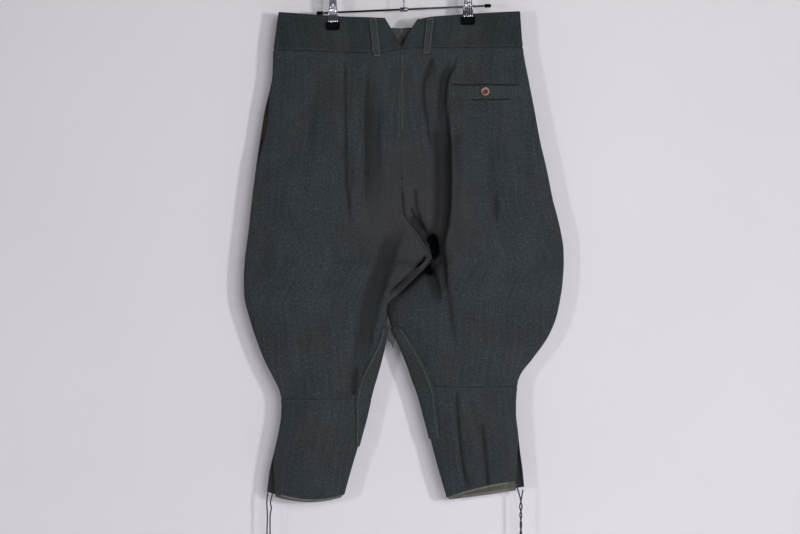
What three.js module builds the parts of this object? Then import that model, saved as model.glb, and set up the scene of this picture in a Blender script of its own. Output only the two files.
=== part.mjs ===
// Riding breeches of heavy wool, hanging by the waistband from a clip hanger.
// Millimetres, +Z up. The origin is where the hook rests on its rail. The seat of the breeches faces -Y,
// the fly faces +Y, and +X is the wearer's right. A "drop" is a distance below the origin, so z is -drop.
import * as THREE from "three";

// ---- Driving sizes ----------------------------------------------------------------------------------------

const SEAM = 0.3; // between two pieces that are sewn or pressed together
const CLOTH = 2; // wall of the leg panels
const BAND_CLOTH = 3; // wall of the waistband, which is folded double
const TRIM_CLOTH = 1.6; // wall of what lies on a panel: loops, welt, fly and strappings
const LINING_CLOTH = 1; // wall of the linings and facings

const BACK = -1; // the layer that faces -Y
const FRONT = 1; // the layer that faces +Y

const WAIST_DROP = 163; // of the waist seam at the sides
const FORK_DROP = 548; // where the four leg panels meet under the seat
const WRAP_FROM = 430; // the seam starts to sink between the legs here
const FLAP_POWER = 4; // how close to the inner edge the flap stays
const LEAN_POWER = 2.5; // and how close the lean stays
const SECTION = { power: 2.6, close: 0.7 }; // how flat the middle of a section is, and how fast it closes
const EDGE_RADIUS = 3.3; // of the turn where two layers meet at a side seam or an inseam
const GAPE = { power: 6, frontShare: 0.5 }; // how close to the edge a gape stays, and the front layer's share

// Each leg's silhouette. outer is the side seam, inner the centre seam above the fork and the inseam below
// it. Under the seat the cloth's inner edge is drawn across by flap, and lean is how far it stands off the
// middle plane, towards -Y when it is negative, so the left thigh laps over the right one.
const LEFT_LEG = {
  side: -1,
  knee: 807,
  hem: { back: [977, 993, 985], front: [977, 990, 984] }, // drop at the side, middle and inseam
  gapes: [
    { from: 224, peak: 306, to: 392, inset: 9, lift: 5 }, // side pocket
    { from: 896, peak: 980, to: null, inset: 13, lift: 5 }, // calf vent
  ],
  stations: [
    { drop: 88, outer: -231, inner: -4, flap: 0, lean: 0 },
    { drop: 163, outer: -241, inner: -4, flap: 0, lean: 0 },
    { drop: 218, outer: -244, inner: -4, flap: 0, lean: 0 },
    { drop: 274, outer: -257, inner: -4, flap: 0, lean: 0 },
    { drop: 329, outer: -266, inner: -4, flap: 0, lean: 0 },
    { drop: 385, outer: -274, inner: -4, flap: 0, lean: 0 },
    { drop: 440, outer: -281, inner: -4, flap: 0, lean: 0 },
    { drop: 466, outer: -284, inner: -4, flap: 6, lean: 0 },
    { drop: 496, outer: -287, inner: -5, flap: 25, lean: -3 },
    { drop: 525, outer: -291, inner: -7, flap: 44, lean: -8 },
    { drop: 548, outer: -294, inner: -10, flap: 59.4, lean: -12 },
    { drop: 562, outer: -295, inner: -13, flap: 56, lean: -23 },
    { drop: 578, outer: -296, inner: -17, flap: 45, lean: -28 },
    { drop: 602, outer: -296, inner: -24, flap: 28, lean: -29 },
    { drop: 620, outer: -295, inner: -27, flap: 12, lean: -26 },
    { drop: 632, outer: -293, inner: -29, flap: 1, lean: -22 },
    { drop: 664, outer: -284, inner: -30, flap: 0, lean: -14 },
    { drop: 698, outer: -273, inner: -34, flap: 0, lean: -5 },
    { drop: 734, outer: -259, inner: -42, flap: 0, lean: 0 },
    { drop: 770, outer: -241, inner: -52, flap: 0, lean: 0 },
    { drop: 790, outer: -231, inner: -58, flap: 0, lean: 0 },
    { drop: 807, outer: -227, inner: -62, flap: 0, lean: 0 },
    { drop: 840, outer: -227, inner: -69, flap: 0, lean: 0 },
    { drop: 866, outer: -231, inner: -76, flap: 0, lean: 0 },
    { drop: 903, outer: -239, inner: -86, flap: 0, lean: 0 },
    { drop: 940, outer: -248, inner: -97, flap: 0, lean: 0 },
    { drop: 995, outer: -255, inner: -112, flap: 0, lean: 0 },
  ],
};

const RIGHT_LEG = {
  side: 1,
  knee: 785,
  hem: { back: [958, 968, 989], front: [972, 983, 990] },
  gapes: [{ from: 862, peak: 975, to: null, inset: 15, lift: 6 }], // calf vent
  stations: [
    { drop: 88, outer: 215, inner: -4, flap: 0, lean: 0 },
    { drop: 163, outer: 221, inner: -4, flap: 0, lean: 0 },
    { drop: 218, outer: 231, inner: -4, flap: 0, lean: 0 },
    { drop: 274, outer: 242, inner: -4, flap: 0, lean: 0 },
    { drop: 329, outer: 252, inner: -4, flap: 0, lean: 0 },
    { drop: 385, outer: 265, inner: -4, flap: 0, lean: 0 },
    { drop: 440, outer: 276, inner: -4, flap: 0, lean: 0 },
    { drop: 466, outer: 283, inner: -4, flap: 6, lean: 0 },
    { drop: 496, outer: 290, inner: -5, flap: 25, lean: -3 },
    { drop: 525, outer: 295, inner: -7, flap: 44, lean: -8 },
    { drop: 548, outer: 296, inner: -10, flap: 60.6, lean: -12 },
    { drop: 562, outer: 296, inner: -14, flap: 50, lean: 3 },
    { drop: 578, outer: 295, inner: -19, flap: 36, lean: 9 },
    { drop: 602, outer: 293, inner: -26, flap: 16, lean: 12 },
    { drop: 620, outer: 290, inner: -30, flap: 5, lean: 12 },
    { drop: 632, outer: 288, inner: -31, flap: 0, lean: 10 },
    { drop: 664, outer: 280, inner: -27, flap: 0, lean: 6 },
    { drop: 698, outer: 264, inner: -12, flap: 0, lean: 2 },
    { drop: 734, outer: 238, inner: 3, flap: 0, lean: 0 },
    { drop: 758, outer: 219, inner: 12, flap: 0, lean: 0 },
    { drop: 773, outer: 212, inner: 17, flap: 0, lean: 0 },
    { drop: 785, outer: 210, inner: 22, flap: 0, lean: 0 },
    { drop: 810, outer: 208, inner: 30, flap: 0, lean: 0 },
    { drop: 840, outer: 208, inner: 38, flap: 0, lean: 0 },
    { drop: 866, outer: 211, inner: 45, flap: 0, lean: 0 },
    { drop: 903, outer: 215, inner: 54, flap: 0, lean: 0 },
    { drop: 940, outer: 220, inner: 64, flap: 0, lean: 0 },
    { drop: 995, outer: 225, inner: 80, flap: 0, lean: 0 },
  ],
};

// How far the cloth stands off the middle plane, on the seat side and on the fly side.
const DEPTHS = [
  { drop: 88, back: 11, front: 11 },
  { drop: 163, back: 15, front: 14 },
  { drop: 218, back: 23, front: 20 },
  { drop: 300, back: 33, front: 27 },
  { drop: 400, back: 40, front: 33 },
  { drop: 500, back: 43, front: 37 },
  { drop: 560, back: 43, front: 39 },
  { drop: 640, back: 42, front: 39 },
  { drop: 720, back: 39, front: 37 },
  { drop: 807, back: 34, front: 32 },
  { drop: 900, back: 31, front: 29 },
  { drop: 995, back: 28, front: 26 },
];

// The clips press the two layers together at the waist, and the cloth opens again below them.
const PINCH = { half: 3.35, flat: 18, spread: 46, holdsTo: 128, fadesBy: 285 };
const CLIP_XS = [-131, 119];

// Soft troughs (depth over 0) and ridges (under 0) in the cloth. Each runs down a line of x and drop, is
// deepest in its middle, and fades at both ends and near the panel's edges.
const FOLD_FADE = { along: 0.8, across: 8 };
const FOLDS = {
  seatValley: {
    place: { layer: BACK, side: 1, width: 18, depth: 16 },
    line: [[101, 170], [84, 206], [71, 262], [71, 334], [69, 466], [64, 560], [70, 650]],
  },
  seatRidge: {
    place: { layer: BACK, side: 1, width: 16, depth: -7 },
    line: [[128, 190], [108, 300], [106, 450], [104, 600]],
  },
  hipTrough: {
    place: { layer: BACK, side: -1, width: 20, depth: 7 },
    line: [[-60, 215], [-58, 330], [-62, 470]],
  },
  thighValley: {
    place: { layer: BACK, side: -1, width: 20, depth: 12 },
    line: [[-12, 480], [-26, 555], [-50, 607], [-58, 672], [-72, 720], [-88, 792]],
  },
  flareTroughRight: {
    place: { layer: BACK, side: 1, width: 26, depth: 6 },
    line: [[172, 265], [176, 420], [182, 560], [176, 670]],
  },
  flareTroughLeft: {
    place: { layer: BACK, side: -1, width: 26, depth: 5 },
    line: [[-132, 330], [-128, 480], [-138, 620]],
  },
  lapTroughLeft: {
    place: { layer: FRONT, side: -1, width: 30, depth: 8 },
    line: [[-88, 240], [-96, 420], [-110, 640]],
  },
  lapTroughRight: {
    place: { layer: FRONT, side: 1, width: 30, depth: 8 },
    line: [[84, 240], [96, 430], [112, 650]],
  },
};

// The fold under the seat: the left thigh's cloth rises over the seam, and the right thigh's sinks behind it.
const SEAT_FOLD = {
  from: 450,
  peak: 530,
  to: 610,
  clear: 8,
  reach: 15,
  width: 14,
  over: 4,
  rise: 8,
  sink: 14,
};

// ---- Tables and curves ------------------------------------------------------------------------------------

const mix = (a, b, t) => a + (b - a) * t;
const clamp01 = (t) => Math.min(1, Math.max(0, t));
const ease = (t) => clamp01(t) ** 2 * (3 - 2 * clamp01(t));
const bell = (t) => Math.exp(-t * t);

// A smooth curve through one column of a table, against its key column.
function read(rows, column, place, key = "drop") {
  const last = rows.length - 1;
  const next = rows.findIndex((row) => row[key] > place);
  const i = next < 0 ? last - 1 : Math.max(0, next - 1);
  const [a, b] = [rows[i], rows[i + 1]];
  const span = b[key] - a[key];
  const slope = (from, to) => (rows[to][column] - rows[from][column]) / (rows[to][key] - rows[from][key]);
  const m0 = slope(Math.max(0, i - 1), i + 1) * span;
  const m1 = slope(i, Math.min(last, i + 2)) * span;
  const t = clamp01((place - a[key]) / span);
  return (
    a[column] * (2 * t ** 3 - 3 * t ** 2 + 1) +
    m0 * (t ** 3 - 2 * t ** 2 + t) +
    b[column] * (3 * t ** 2 - 2 * t ** 3) +
    m1 * (t ** 3 - t ** 2)
  );
}

// The parabola that is a at t = 0, b at t = 0.5 and c at t = 1.
const arc = ([a, b, c], t) => a + t * (4 * b - 3 * a - c) + t * t * (2 * a - 4 * b + 2 * c);

// Where a fold's line is at this drop, and how strong it is there.
function foldAt(line, drop) {
  const rows = line.map(([x, at]) => ({ x, drop: at }));
  const [top, bottom] = [rows[0].drop, rows[rows.length - 1].drop];
  const along = (drop - top) / (bottom - top);
  if (along <= 0 || along >= 1) return { x: 0, strength: 0 };
  return { x: read(rows, "x", drop), strength: Math.sin(Math.PI * along) ** FOLD_FADE.along };
}

// How far a pocket or vent stands open at this drop, from 0 to 1.
function openness(gape, drop) {
  if (drop <= gape.from) return 0;
  if (drop <= gape.peak) return ease((drop - gape.from) / (gape.peak - gape.from));
  return gape.to ? ease((gape.to - drop) / (gape.to - gape.peak)) : 1;
}

// ---- The breeches' outer surface --------------------------------------------------------------------------

// How far round the section the panel's inner edge lies: 0 at a centre seam, 1 at an inseam.
const wrapAt = (drop) => ease((drop - WRAP_FROM) / (FORK_DROP - WRAP_FROM));

const rounded = (near) => Math.max(0, 1 - near) ** SECTION.close;

// The quarter circle at an edge, against the distance from it.
const turnAt = (far) => Math.sqrt(EDGE_RADIUS ** 2 - (EDGE_RADIUS - Math.min(far, EDGE_RADIUS)) ** 2);

// The point of the cloth's outer face at a share across the panel, from the side seam to the inner edge.
function surface(leg, layer, across, drop) {
  const { side } = leg;
  let outer = read(leg.stations, "outer", drop);
  let lift = 0;
  for (const gape of leg.gapes) {
    const open = openness(gape, drop);
    if (layer === BACK) outer -= side * gape.inset * open;
    lift += gape.lift * (layer === BACK ? 1 : GAPE.frontShare) * open * (1 - across) ** GAPE.power;
  }
  const flap = read(leg.stations, "flap", drop);
  const inner = read(leg.stations, "inner", drop) + (side * SEAM) / 2;
  const wrap = wrapAt(drop);
  const x = mix(outer, inner, across) + flap * across ** FLAP_POWER;

  const closing = rounded((1 - across) ** SECTION.power) * rounded(wrap * across ** SECTION.power);
  const free = read(DEPTHS, layer === BACK ? "back" : "front", drop);
  const press = 1 - ease((drop - PINCH.holdsTo) / (PINCH.fadesBy - PINCH.holdsTo));
  const fromClip = Math.min(...CLIP_XS.map((at) => Math.abs(x - at)));
  const squeeze = press * (1 - ease((fromClip - PINCH.flat) / PINCH.spread));
  const innerTurn = mix(EDGE_RADIUS, turnAt(Math.abs(x - inner - flap)), wrap);
  const turn = Math.min(turnAt(Math.abs(x - outer)), innerTurn);
  const bulge = turn + (free - EDGE_RADIUS) * closing;
  const depth = mix(bulge, Math.min(bulge, PINCH.half), squeeze);

  const leaning = read(leg.stations, "lean", drop) * across ** LEAN_POWER;
  const point = new THREE.Vector3(x, leaning + layer * (SEAM / 2 + depth + lift), -drop);
  const middle = 1 - Math.abs(2 * across - 1) ** FOLD_FADE.across;
  for (const { place, line } of Object.values(FOLDS)) {
    if (place.layer !== layer || place.side !== side) continue;
    const at = foldAt(line, drop);
    point.y -= layer * place.depth * at.strength * middle * bell((x - at.x) / place.width);
  }
  if (layer === BACK) addSeatFold(point, side, x - inner - flap, drop);
  return point;
}

function addSeatFold(point, side, fromSeam, drop) {
  const { from, peak, to, clear, reach, width, over, rise, sink } = SEAT_FOLD;
  const rising = drop < peak ? (drop - from) / (peak - from) : (to - drop) / (to - peak);
  const offSeam = 1 - bell(fromSeam / clear);
  const strength = ease(rising) * offSeam * bell((Math.abs(fromSeam) - reach) / width);
  if (side < 0) {
    point.x += over * strength;
    point.y -= rise * strength;
  } else {
    point.y += sink * strength;
  }
}

const PROBE = { across: 1e-3, drop: 0.5 }; // how far apart the points that give a direction are
const AT_FORK = 1; // a point this near the fork counts as on it

// The outward direction of the surface. On a seam it is turned square to the seam, so two walls meet flat.
function outward(leg, layer, across, drop) {
  const [left, right] = [Math.max(0, across - PROBE.across), Math.min(1, across + PROBE.across)];
  const [above, below] = [drop - PROBE.drop, drop + PROBE.drop];
  const alongA = surface(leg, layer, right, drop).sub(surface(leg, layer, left, drop));
  const alongD = surface(leg, layer, across, below).sub(surface(leg, layer, across, above));
  const normal = alongA.cross(alongD).multiplyScalar(-leg.side * layer);
  const onInner = across >= 1;
  if (across <= 0 || (onInner && drop > FORK_DROP - AT_FORK)) normal.y = 0;
  if (onInner && drop < FORK_DROP + AT_FORK) normal.x = 0;
  if (onInner && Math.abs(drop - FORK_DROP) < AT_FORK) normal.set(0, 0, -1);
  return normal.normalize();
}

// ---- Panels -----------------------------------------------------------------------------------------------

// A piece of cloth as a grid of points on its outer face, each with its way out. Other pieces are laid on it
// or behind it from these same points.
class Panel {
  // place(row, column) gives a point's leg, layer, share across and drop.
  constructor(rows, columns, place) {
    Object.assign(this, { rows, columns, points: [], ways: [] });
    for (let row = 0; row <= rows; row++) {
      for (let column = 0; column <= columns; column++) {
        const [leg, layer, across, drop] = place(row, column);
        this.points.push(surface(leg, layer, across, drop));
        this.ways.push(outward(leg, layer, across, drop));
      }
    }
  }

  // A point on the panel's flat facets, this far out of them. It may run a little past the last row.
  at(row, column, out = 0) {
    const i = Math.min(this.rows - 1, Math.max(0, Math.floor(row)));
    const j = Math.min(this.columns - 1, Math.max(0, Math.floor(column)));
    const [down, over] = [row - i, column - j];
    const first = i * (this.columns + 1) + j;
    const last = first + this.columns + 2;
    const corner = over >= down ? first + 1 : last - 1;
    const [toCorner, toLast] = over >= down ? [over, down] : [down, over];
    const onFacet = (list) => {
      const start = list[first].clone().multiplyScalar(1 - toCorner);
      return start.addScaledVector(list[corner], toCorner - toLast).addScaledVector(list[last], toLast);
    };
    return onFacet(this.points).addScaledVector(onFacet(this.ways).normalize(), out);
  }

  // The row and column where the panel passes an x and a drop.
  find(x, drop) {
    let [row, column] = [this.rows / 2, this.columns / 2];
    for (let pass = 0; pass < 4; pass++) {
      row = crossing(this.rows, drop, (at) => -this.at(at, column).z);
      column = crossing(this.columns, x, (at) => this.at(row, at).x);
    }
    return [row, column];
  }

  solid(thick) {
    const { rows, columns } = this;
    return wallBetween(rows, columns, (row, column, face) => this.at(row, column, face ? -thick : 0));
  }
}

// Where a value that steps steadily from 0 to count passes a target.
function crossing(count, target, valueAt) {
  const rising = valueAt(count) > valueAt(0);
  let i = 0;
  while (i < count - 1 && valueAt(i + 1) < target === rising) i++;
  const [a, b] = [valueAt(i), valueAt(i + 1)];
  return i + (target - a) / (b - a);
}

// ---- Making solids ----------------------------------------------------------------------------------------

function closedGeometry(points, triangles) {
  const [a, b, c] = [new THREE.Vector3(), new THREE.Vector3(), new THREE.Vector3()];
  let volume = 0;
  for (let i = 0; i < triangles.length; i += 3) {
    a.copy(points[triangles[i]]);
    b.copy(points[triangles[i + 1]]);
    c.copy(points[triangles[i + 2]]);
    volume += a.dot(b.cross(c));
  }
  if (volume < 0) triangles.reverse();
  const geometry = new THREE.BufferGeometry();
  geometry.setAttribute("position", new THREE.Float32BufferAttribute(points.flatMap((p) => p.toArray()), 3));
  geometry.setIndex(triangles);
  return geometry;
}

// The wall between two grids of points, point(row, column, face), where face is 0 outside and 1 inside.
function wallBetween(rows, columns, point) {
  const points = [];
  for (const face of [0, 1]) {
    for (let row = 0; row <= rows; row++) {
      for (let column = 0; column <= columns; column++) points.push(point(row, column, face));
    }
  }
  const under = (rows + 1) * (columns + 1);
  const id = (row, column) => row * (columns + 1) + column;
  const triangles = [];
  const quad = (p, q, r, s) => triangles.push(p, q, r, p, r, s);
  for (let row = 0; row < rows; row++) {
    for (let column = 0; column < columns; column++) {
      const corners = [id(row, column), id(row, column + 1), id(row + 1, column + 1), id(row + 1, column)];
      quad(...corners);
      const [p, q, r, s] = corners.map((corner) => corner + under);
      triangles.push(p, r, q, p, s, r);
    }
  }
  const rim = (p, q) => quad(q, p, p + under, q + under);
  for (let column = 0; column < columns; column++) {
    rim(id(0, column), id(0, column + 1));
    rim(id(rows, column + 1), id(rows, column));
  }
  for (let row = 0; row < rows; row++) {
    rim(id(row + 1, 0), id(row, 0));
    rim(id(row, columns), id(row + 1, columns));
  }
  return closedGeometry(points, triangles);
}

const MATERIALS = {
  wool: new THREE.MeshStandardMaterial({ color: 0x3a4145, roughness: 0.95, metalness: 0 }),
  lining: new THREE.MeshStandardMaterial({ color: 0x8a8b7c, roughness: 0.9, metalness: 0 }),
  facing: new THREE.MeshStandardMaterial({ color: 0x4a3226, roughness: 0.9, metalness: 0 }),
  lace: new THREE.MeshStandardMaterial({ color: 0x55504a, roughness: 0.9, metalness: 0 }),
  horn: new THREE.MeshStandardMaterial({ color: 0x9a5f3f, roughness: 0.35, metalness: 0 }),
  chrome: new THREE.MeshStandardMaterial({ color: 0xc8c9cc, roughness: 0.2, metalness: 1 }),
  rubber: new THREE.MeshStandardMaterial({ color: 0x15171a, roughness: 0.6, metalness: 0 }),
};

const breeches = new THREE.Group();

function add(name, material, geometry) {
  const mesh = new THREE.Mesh(geometry, MATERIALS[material]);
  mesh.name = name;
  breeches.add(mesh);
  return mesh;
}

const LEGS = [
  ["left", LEFT_LEG],
  ["right", RIGHT_LEG],
];
const LAYERS = [
  ["back", BACK],
  ["front", FRONT],
];
const panels = {};

// ---- Waistband --------------------------------------------------------------------------------------------

// The band's edges, as drops at x. The seat side is nearly level, and the fly side dips in the middle.
const BAND = {
  back: [
    { at: -241, top: 93, bottom: 162 },
    { at: -130, top: 101, bottom: 166 },
    { at: -50, top: 104.5, bottom: 168 },
    { at: -4, top: 106, bottom: 161 },
    { at: 24, top: 107.5, bottom: 159 },
    { at: 50, top: 103, bottom: 159 },
    { at: 119, top: 97.5, bottom: 158 },
    { at: 221, top: 92, bottom: 157 },
  ],
  front: [
    { at: -241, top: 93, bottom: 162 },
    { at: -130, top: 104, bottom: 173 },
    { at: -4, top: 123, bottom: 190 },
    { at: 119, top: 102, bottom: 169 },
    { at: 221, top: 92, bottom: 157 },
  ],
};
const bandEdge = (face, edge, x) => read(BAND[face], edge, x, "at");

// The V notch in the back of the band: how far the end of each half stands off its point, at the top edge.
const NOTCH = { point: -4, left: 31, right: 29, gap: 0.6, bend: 1.2 };

const BAND_GRID = { rows: 3, columns: 16, free: 0.9995 }; // free is the share across at a loose band end
const BAND_SIDE = { top: 92, bottom: 160 }; // the band's drops at the side seams, within a few millimetres

function bandEnd(leg, face, v) {
  if (face === "front") return NOTCH.point;
  const spread = leg.side < 0 ? NOTCH.left : NOTCH.right;
  return NOTCH.point + leg.side * (NOTCH.gap + spread * (1 - v) ** NOTCH.bend);
}

function bandPanel(leg, face, layer) {
  const { rows, columns, free } = BAND_GRID;
  return new Panel(rows, columns, (row, column) => {
    const v = row / rows;
    const t = column / columns;
    const side = read(leg.stations, "outer", mix(BAND_SIDE.top, BAND_SIDE.bottom, v));
    const wanted = mix(side, bandEnd(leg, face, v), t);
    const drop = mix(bandEdge(face, "top", wanted), bandEdge(face, "bottom", wanted) - SEAM / 2, v);
    const outer = read(leg.stations, "outer", drop);
    const across = (wanted - outer) / (NOTCH.point - outer);
    if (column === 0) return [leg, layer, 0, drop];
    return [leg, layer, face === "front" && column === columns ? 1 : Math.min(across, free), drop];
  });
}

// ---- Leg and calf panels ----------------------------------------------------------------------------------

// Drops of a leg panel's rows, below the one at the band.
const SEAT_ROWS = {
  back: [195, 230, 265, 300, 335, 370, 405, 438, 466, 492, 512, 530, 548, 562, 578, 602, 620, 632, 664],
  front: [195, 250, 306, 360, 414, 466, 492, 512, 530, 548, 562, 578, 602, 620, 632, 664],
};
const LEG_ROWS = { left: [698, 736, 772, 807], right: [695, 725, 755, 785] };
const LEG_COLUMNS = { back: 20, front: 12 };
const FIRST_ROW = 12; // the least height of the row under the band
const CALF = { rows: 6, columns: { back: 10, front: 8 } };
const CROWDING = 0.55; // how much closer together the columns are near a panel's edges, where it curves

const shareOf = (column, columns) => {
  const t = column / columns;
  return mix(t, (1 - Math.cos(Math.PI * t)) / 2, CROWDING);
};

function legPanel(hand, leg, face, layer) {
  const drops = [...SEAT_ROWS[face], ...LEG_ROWS[hand]];
  const [rows, columns] = [drops.length, LEG_COLUMNS[face]];
  return new Panel(rows, columns, (row, column) => {
    const across = shareOf(column, columns);
    const x = mix(read(leg.stations, "outer", WAIST_DROP), NOTCH.point, across);
    const top = bandEdge(face, "bottom", x) + SEAM / 2;
    if (row === 0) return [leg, layer, across, top];
    if (row === rows) return [leg, layer, across, leg.knee - SEAM / 2];
    return [leg, layer, across, Math.max(drops[row - 1], top + FIRST_ROW)];
  });
}

function calfPanel(leg, face, layer) {
  const { rows, columns } = CALF;
  return new Panel(rows, columns[face], (row, column) => {
    const across = shareOf(column, columns[face]);
    return [leg, layer, across, mix(leg.knee + SEAM / 2, arc(leg.hem[face], across), row / rows)];
  });
}

for (const [hand, leg] of LEGS) {
  for (const [face, layer] of LAYERS) {
    panels[`band_${face}_${hand}`] = bandPanel(leg, face, layer);
    panels[`${face}_${hand}`] = legPanel(hand, leg, face, layer);
    panels[`calf_${face}_${hand}`] = calfPanel(leg, face, layer);
  }
}
for (const [name, panel] of Object.entries(panels)) {
  add(name, "wool", panel.solid(name.startsWith("band") ? BAND_CLOTH : CLOTH));
}

// The lining behind each calf hem, which reaches a little below it.
const HEM_LINING = { height: 32, below: 2.4 };

function hemLining(panel) {
  const pitch = (panel.at(0, 0).z - panel.at(panel.rows, 0).z) / panel.rows;
  const [top, bottom] = [panel.rows - HEM_LINING.height / pitch, panel.rows + HEM_LINING.below / pitch];
  return wallBetween(2, panel.columns, (row, column, face) => {
    const out = -CLOTH - SEAM - (face ? LINING_CLOTH : 0);
    return panel.at([top, panel.rows - 1, bottom][row], column, out);
  });
}
for (const [hand] of LEGS) {
  for (const [face] of LAYERS) {
    add(`calf_lining_${face}_${hand}`, "lining", hemLining(panels[`calf_${face}_${hand}`]));
  }
}

// ---- What lies on the panels ------------------------------------------------------------------------------

// The point of the breeches at an x and a drop, this far out of the piece that covers it there.
function onBreeches(face, x, drop, out) {
  const hand = x < NOTCH.point ? "left" : "right";
  const leg = x < NOTCH.point ? LEFT_LEG : RIGHT_LEG;
  const part = drop < bandEdge(face, "bottom", x) ? "band_" : drop > leg.knee ? "calf_" : "";
  const panel = panels[`${part}${face}_${hand}`];
  return panel.at(...panel.find(x, drop), out);
}

// The inner-leg strapping: a long leaf round the inseam. reach is its width on the seat side.
const STRAPPINGS = {
  left: [
    { drop: 676, reach: 8 },
    { drop: 698, reach: 10 },
    { drop: 736, reach: 19 },
    { drop: 772, reach: 27 },
    { drop: 807, reach: 26 },
    { drop: 836, reach: 20 },
    { drop: 866, reach: 12 },
    { drop: 895, reach: 5 },
  ],
  right: [
    { drop: 676, reach: 16 },
    { drop: 695, reach: 22 },
    { drop: 725, reach: 27 },
    { drop: 755, reach: 32 },
    { drop: 785, reach: 34 },
    { drop: 819, reach: 28 },
    { drop: 853, reach: 22 },
    { drop: 881, reach: 17 },
  ],
};
const STRAPPING = { frontShare: 1.2, sideColumns: 5, gap: 1.2 };
const LAST_COLUMN = 0.85; // a panel's column past this share of the reach is left out
const PAST_KNEE = 5; // a row of the strapping this far under the knee seam lies on the calf

// A panel's columns from its inseam out to one at this reach, with the spare ones spread before it.
function columnsTo(panel, row, reach, count) {
  const { x } = panel.at(row, panel.columns);
  const far = (column) => Math.abs(panel.at(row, column).x - x);
  const end = crossing(panel.columns, reach, far);
  const found = [];
  for (let column = panel.columns - 1; column > end && found.length < count - 1; column--) {
    if (far(column) < LAST_COLUMN * reach) found.push(column);
  }
  const [kept, from] = [found.length, found[found.length - 1] ?? panel.columns];
  for (let i = kept + 1; i <= count; i++) found.push(mix(from, end, (i - kept) / (count - kept)));
  return found;
}

function strapping(hand, leg) {
  const shape = STRAPPINGS[hand];
  const { frontShare, sideColumns, gap } = STRAPPING;
  const rows = 2 * (shape.length - 1);
  return wallBetween(rows, 2 * sideColumns, (row, column, face) => {
    const [above, below] = [shape[Math.floor(row / 2)], shape[Math.ceil(row / 2)]];
    const drop = (above.drop + below.drop) / 2;
    const round = column - sideColumns;
    const out = gap + (face ? 0 : TRIM_CLOTH);
    const part = drop > leg.knee + PAST_KNEE ? "calf_" : "";
    const panel = panels[`${part}${round < 0 ? "back" : "front"}_${hand}`];
    const exact = crossing(panel.rows, drop, (at) => -panel.at(at, panel.columns).z);
    const onRow = row % 2 || row === 0 || row === rows ? exact : Math.round(exact);
    if (round === 0) {
      const { x, z } = panel.at(onRow, panel.columns);
      return new THREE.Vector3(x - leg.side * out, read(leg.stations, "lean", drop), z);
    }
    const reach = ((above.reach + below.reach) / 2) * (round < 0 ? 1 : frontShare);
    return panel.at(onRow, columnsTo(panel, onRow, reach, sideColumns)[Math.abs(round) - 1], out);
  });
}
for (const [hand, leg] of LEGS) add(`strapping_${hand}`, "wool", strapping(hand, leg));

// A strip that lies on the breeches between two drops, about a line that runs from one x to another.
function strip({ face, fromX, toX, top, bottom, width, bow = 0, rows, columns, gap = 0.5 }) {
  return wallBetween(rows, columns, (row, column, side) => {
    const v = row / rows;
    const x = mix(fromX, toX, v) + width * (column / columns - 0.5);
    const out = gap + bow * Math.sin(Math.PI * v) + (side ? 0 : TRIM_CLOTH);
    return onBreeches(face, x, mix(top, bottom, v), out);
  });
}

const LOOP = { width: 14, bow: 1.8, rows: 6, columns: 2 };
const BELT_LOOPS = {
  loop_back_left: { face: "back", fromX: -57, toX: -49.5, top: 104.5, bottom: 176 },
  loop_back_right: { face: "back", fromX: 49, toX: 42, top: 104, bottom: 170 },
  loop_front_left: { face: "front", fromX: -84, toX: -84, top: 113, bottom: 189 },
  loop_front_right: { face: "front", fromX: 76, toX: 76, top: 111, bottom: 187 },
};
for (const [name, place] of Object.entries(BELT_LOOPS)) add(name, "wool", strip({ ...place, ...LOOP }));

const WELT = { x: 149.5, top: 229, bottom: 254, width: 127, gap: 0.9, rows: 2, columns: 14 };
add("pocket_welt", "wool", strip({ face: "back", fromX: WELT.x, toX: WELT.x, ...WELT }));

const FLY = { x: -26, top: 196, bottom: 402, width: 43, rows: 8, columns: 4 };
add("fly", "wool", strip({ face: "front", fromX: FLY.x, toX: FLY.x, ...FLY }));

// A thin piece behind a panel. down and over are the panel's rows and columns that it lies between.
function behind(panel, wall, { rows, columns, down, over }) {
  return wallBetween(rows, columns, (row, column, face) => {
    const out = -wall - SEAM - (face ? LINING_CLOTH : 0);
    return panel.at(mix(...down, row / rows), mix(...over, column / columns), out);
  });
}

// The light lining inside the front of the band, on both sides of the notch.
const BAND_LINING = { rows: 3, columns: 4, down: [0.05, 2.9], over: [12, BAND_GRID.columns] };
for (const [hand] of LEGS) {
  add(`band_lining_${hand}`, "lining", behind(panels[`band_front_${hand}`], BAND_CLOTH, BAND_LINING));
}

// The facing behind the mouth of the left side pocket, on the front panel's edge.
const POCKET_FACING = { rows: 3, columns: 2, down: [2, 5], over: [0.2, 1.2] };
add("pocket_facing", "facing", behind(panels.front_left, CLOTH, POCKET_FACING));

// ---- Buttons ----------------------------------------------------------------------------------------------

const BUTTON = { radius: 7.5, rim: 1.3, height: 3, dish: 1.2, bevel: 0.4, foot: 1, segments: 20 };
const BUTTONS = {
  pocket_button: { face: "back", x: 150, drop: 239, off: WELT.gap + TRIM_CLOTH + 0.8 },
  band_button: { face: "front", x: -14, drop: 157, off: 0.6 },
};

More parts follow.
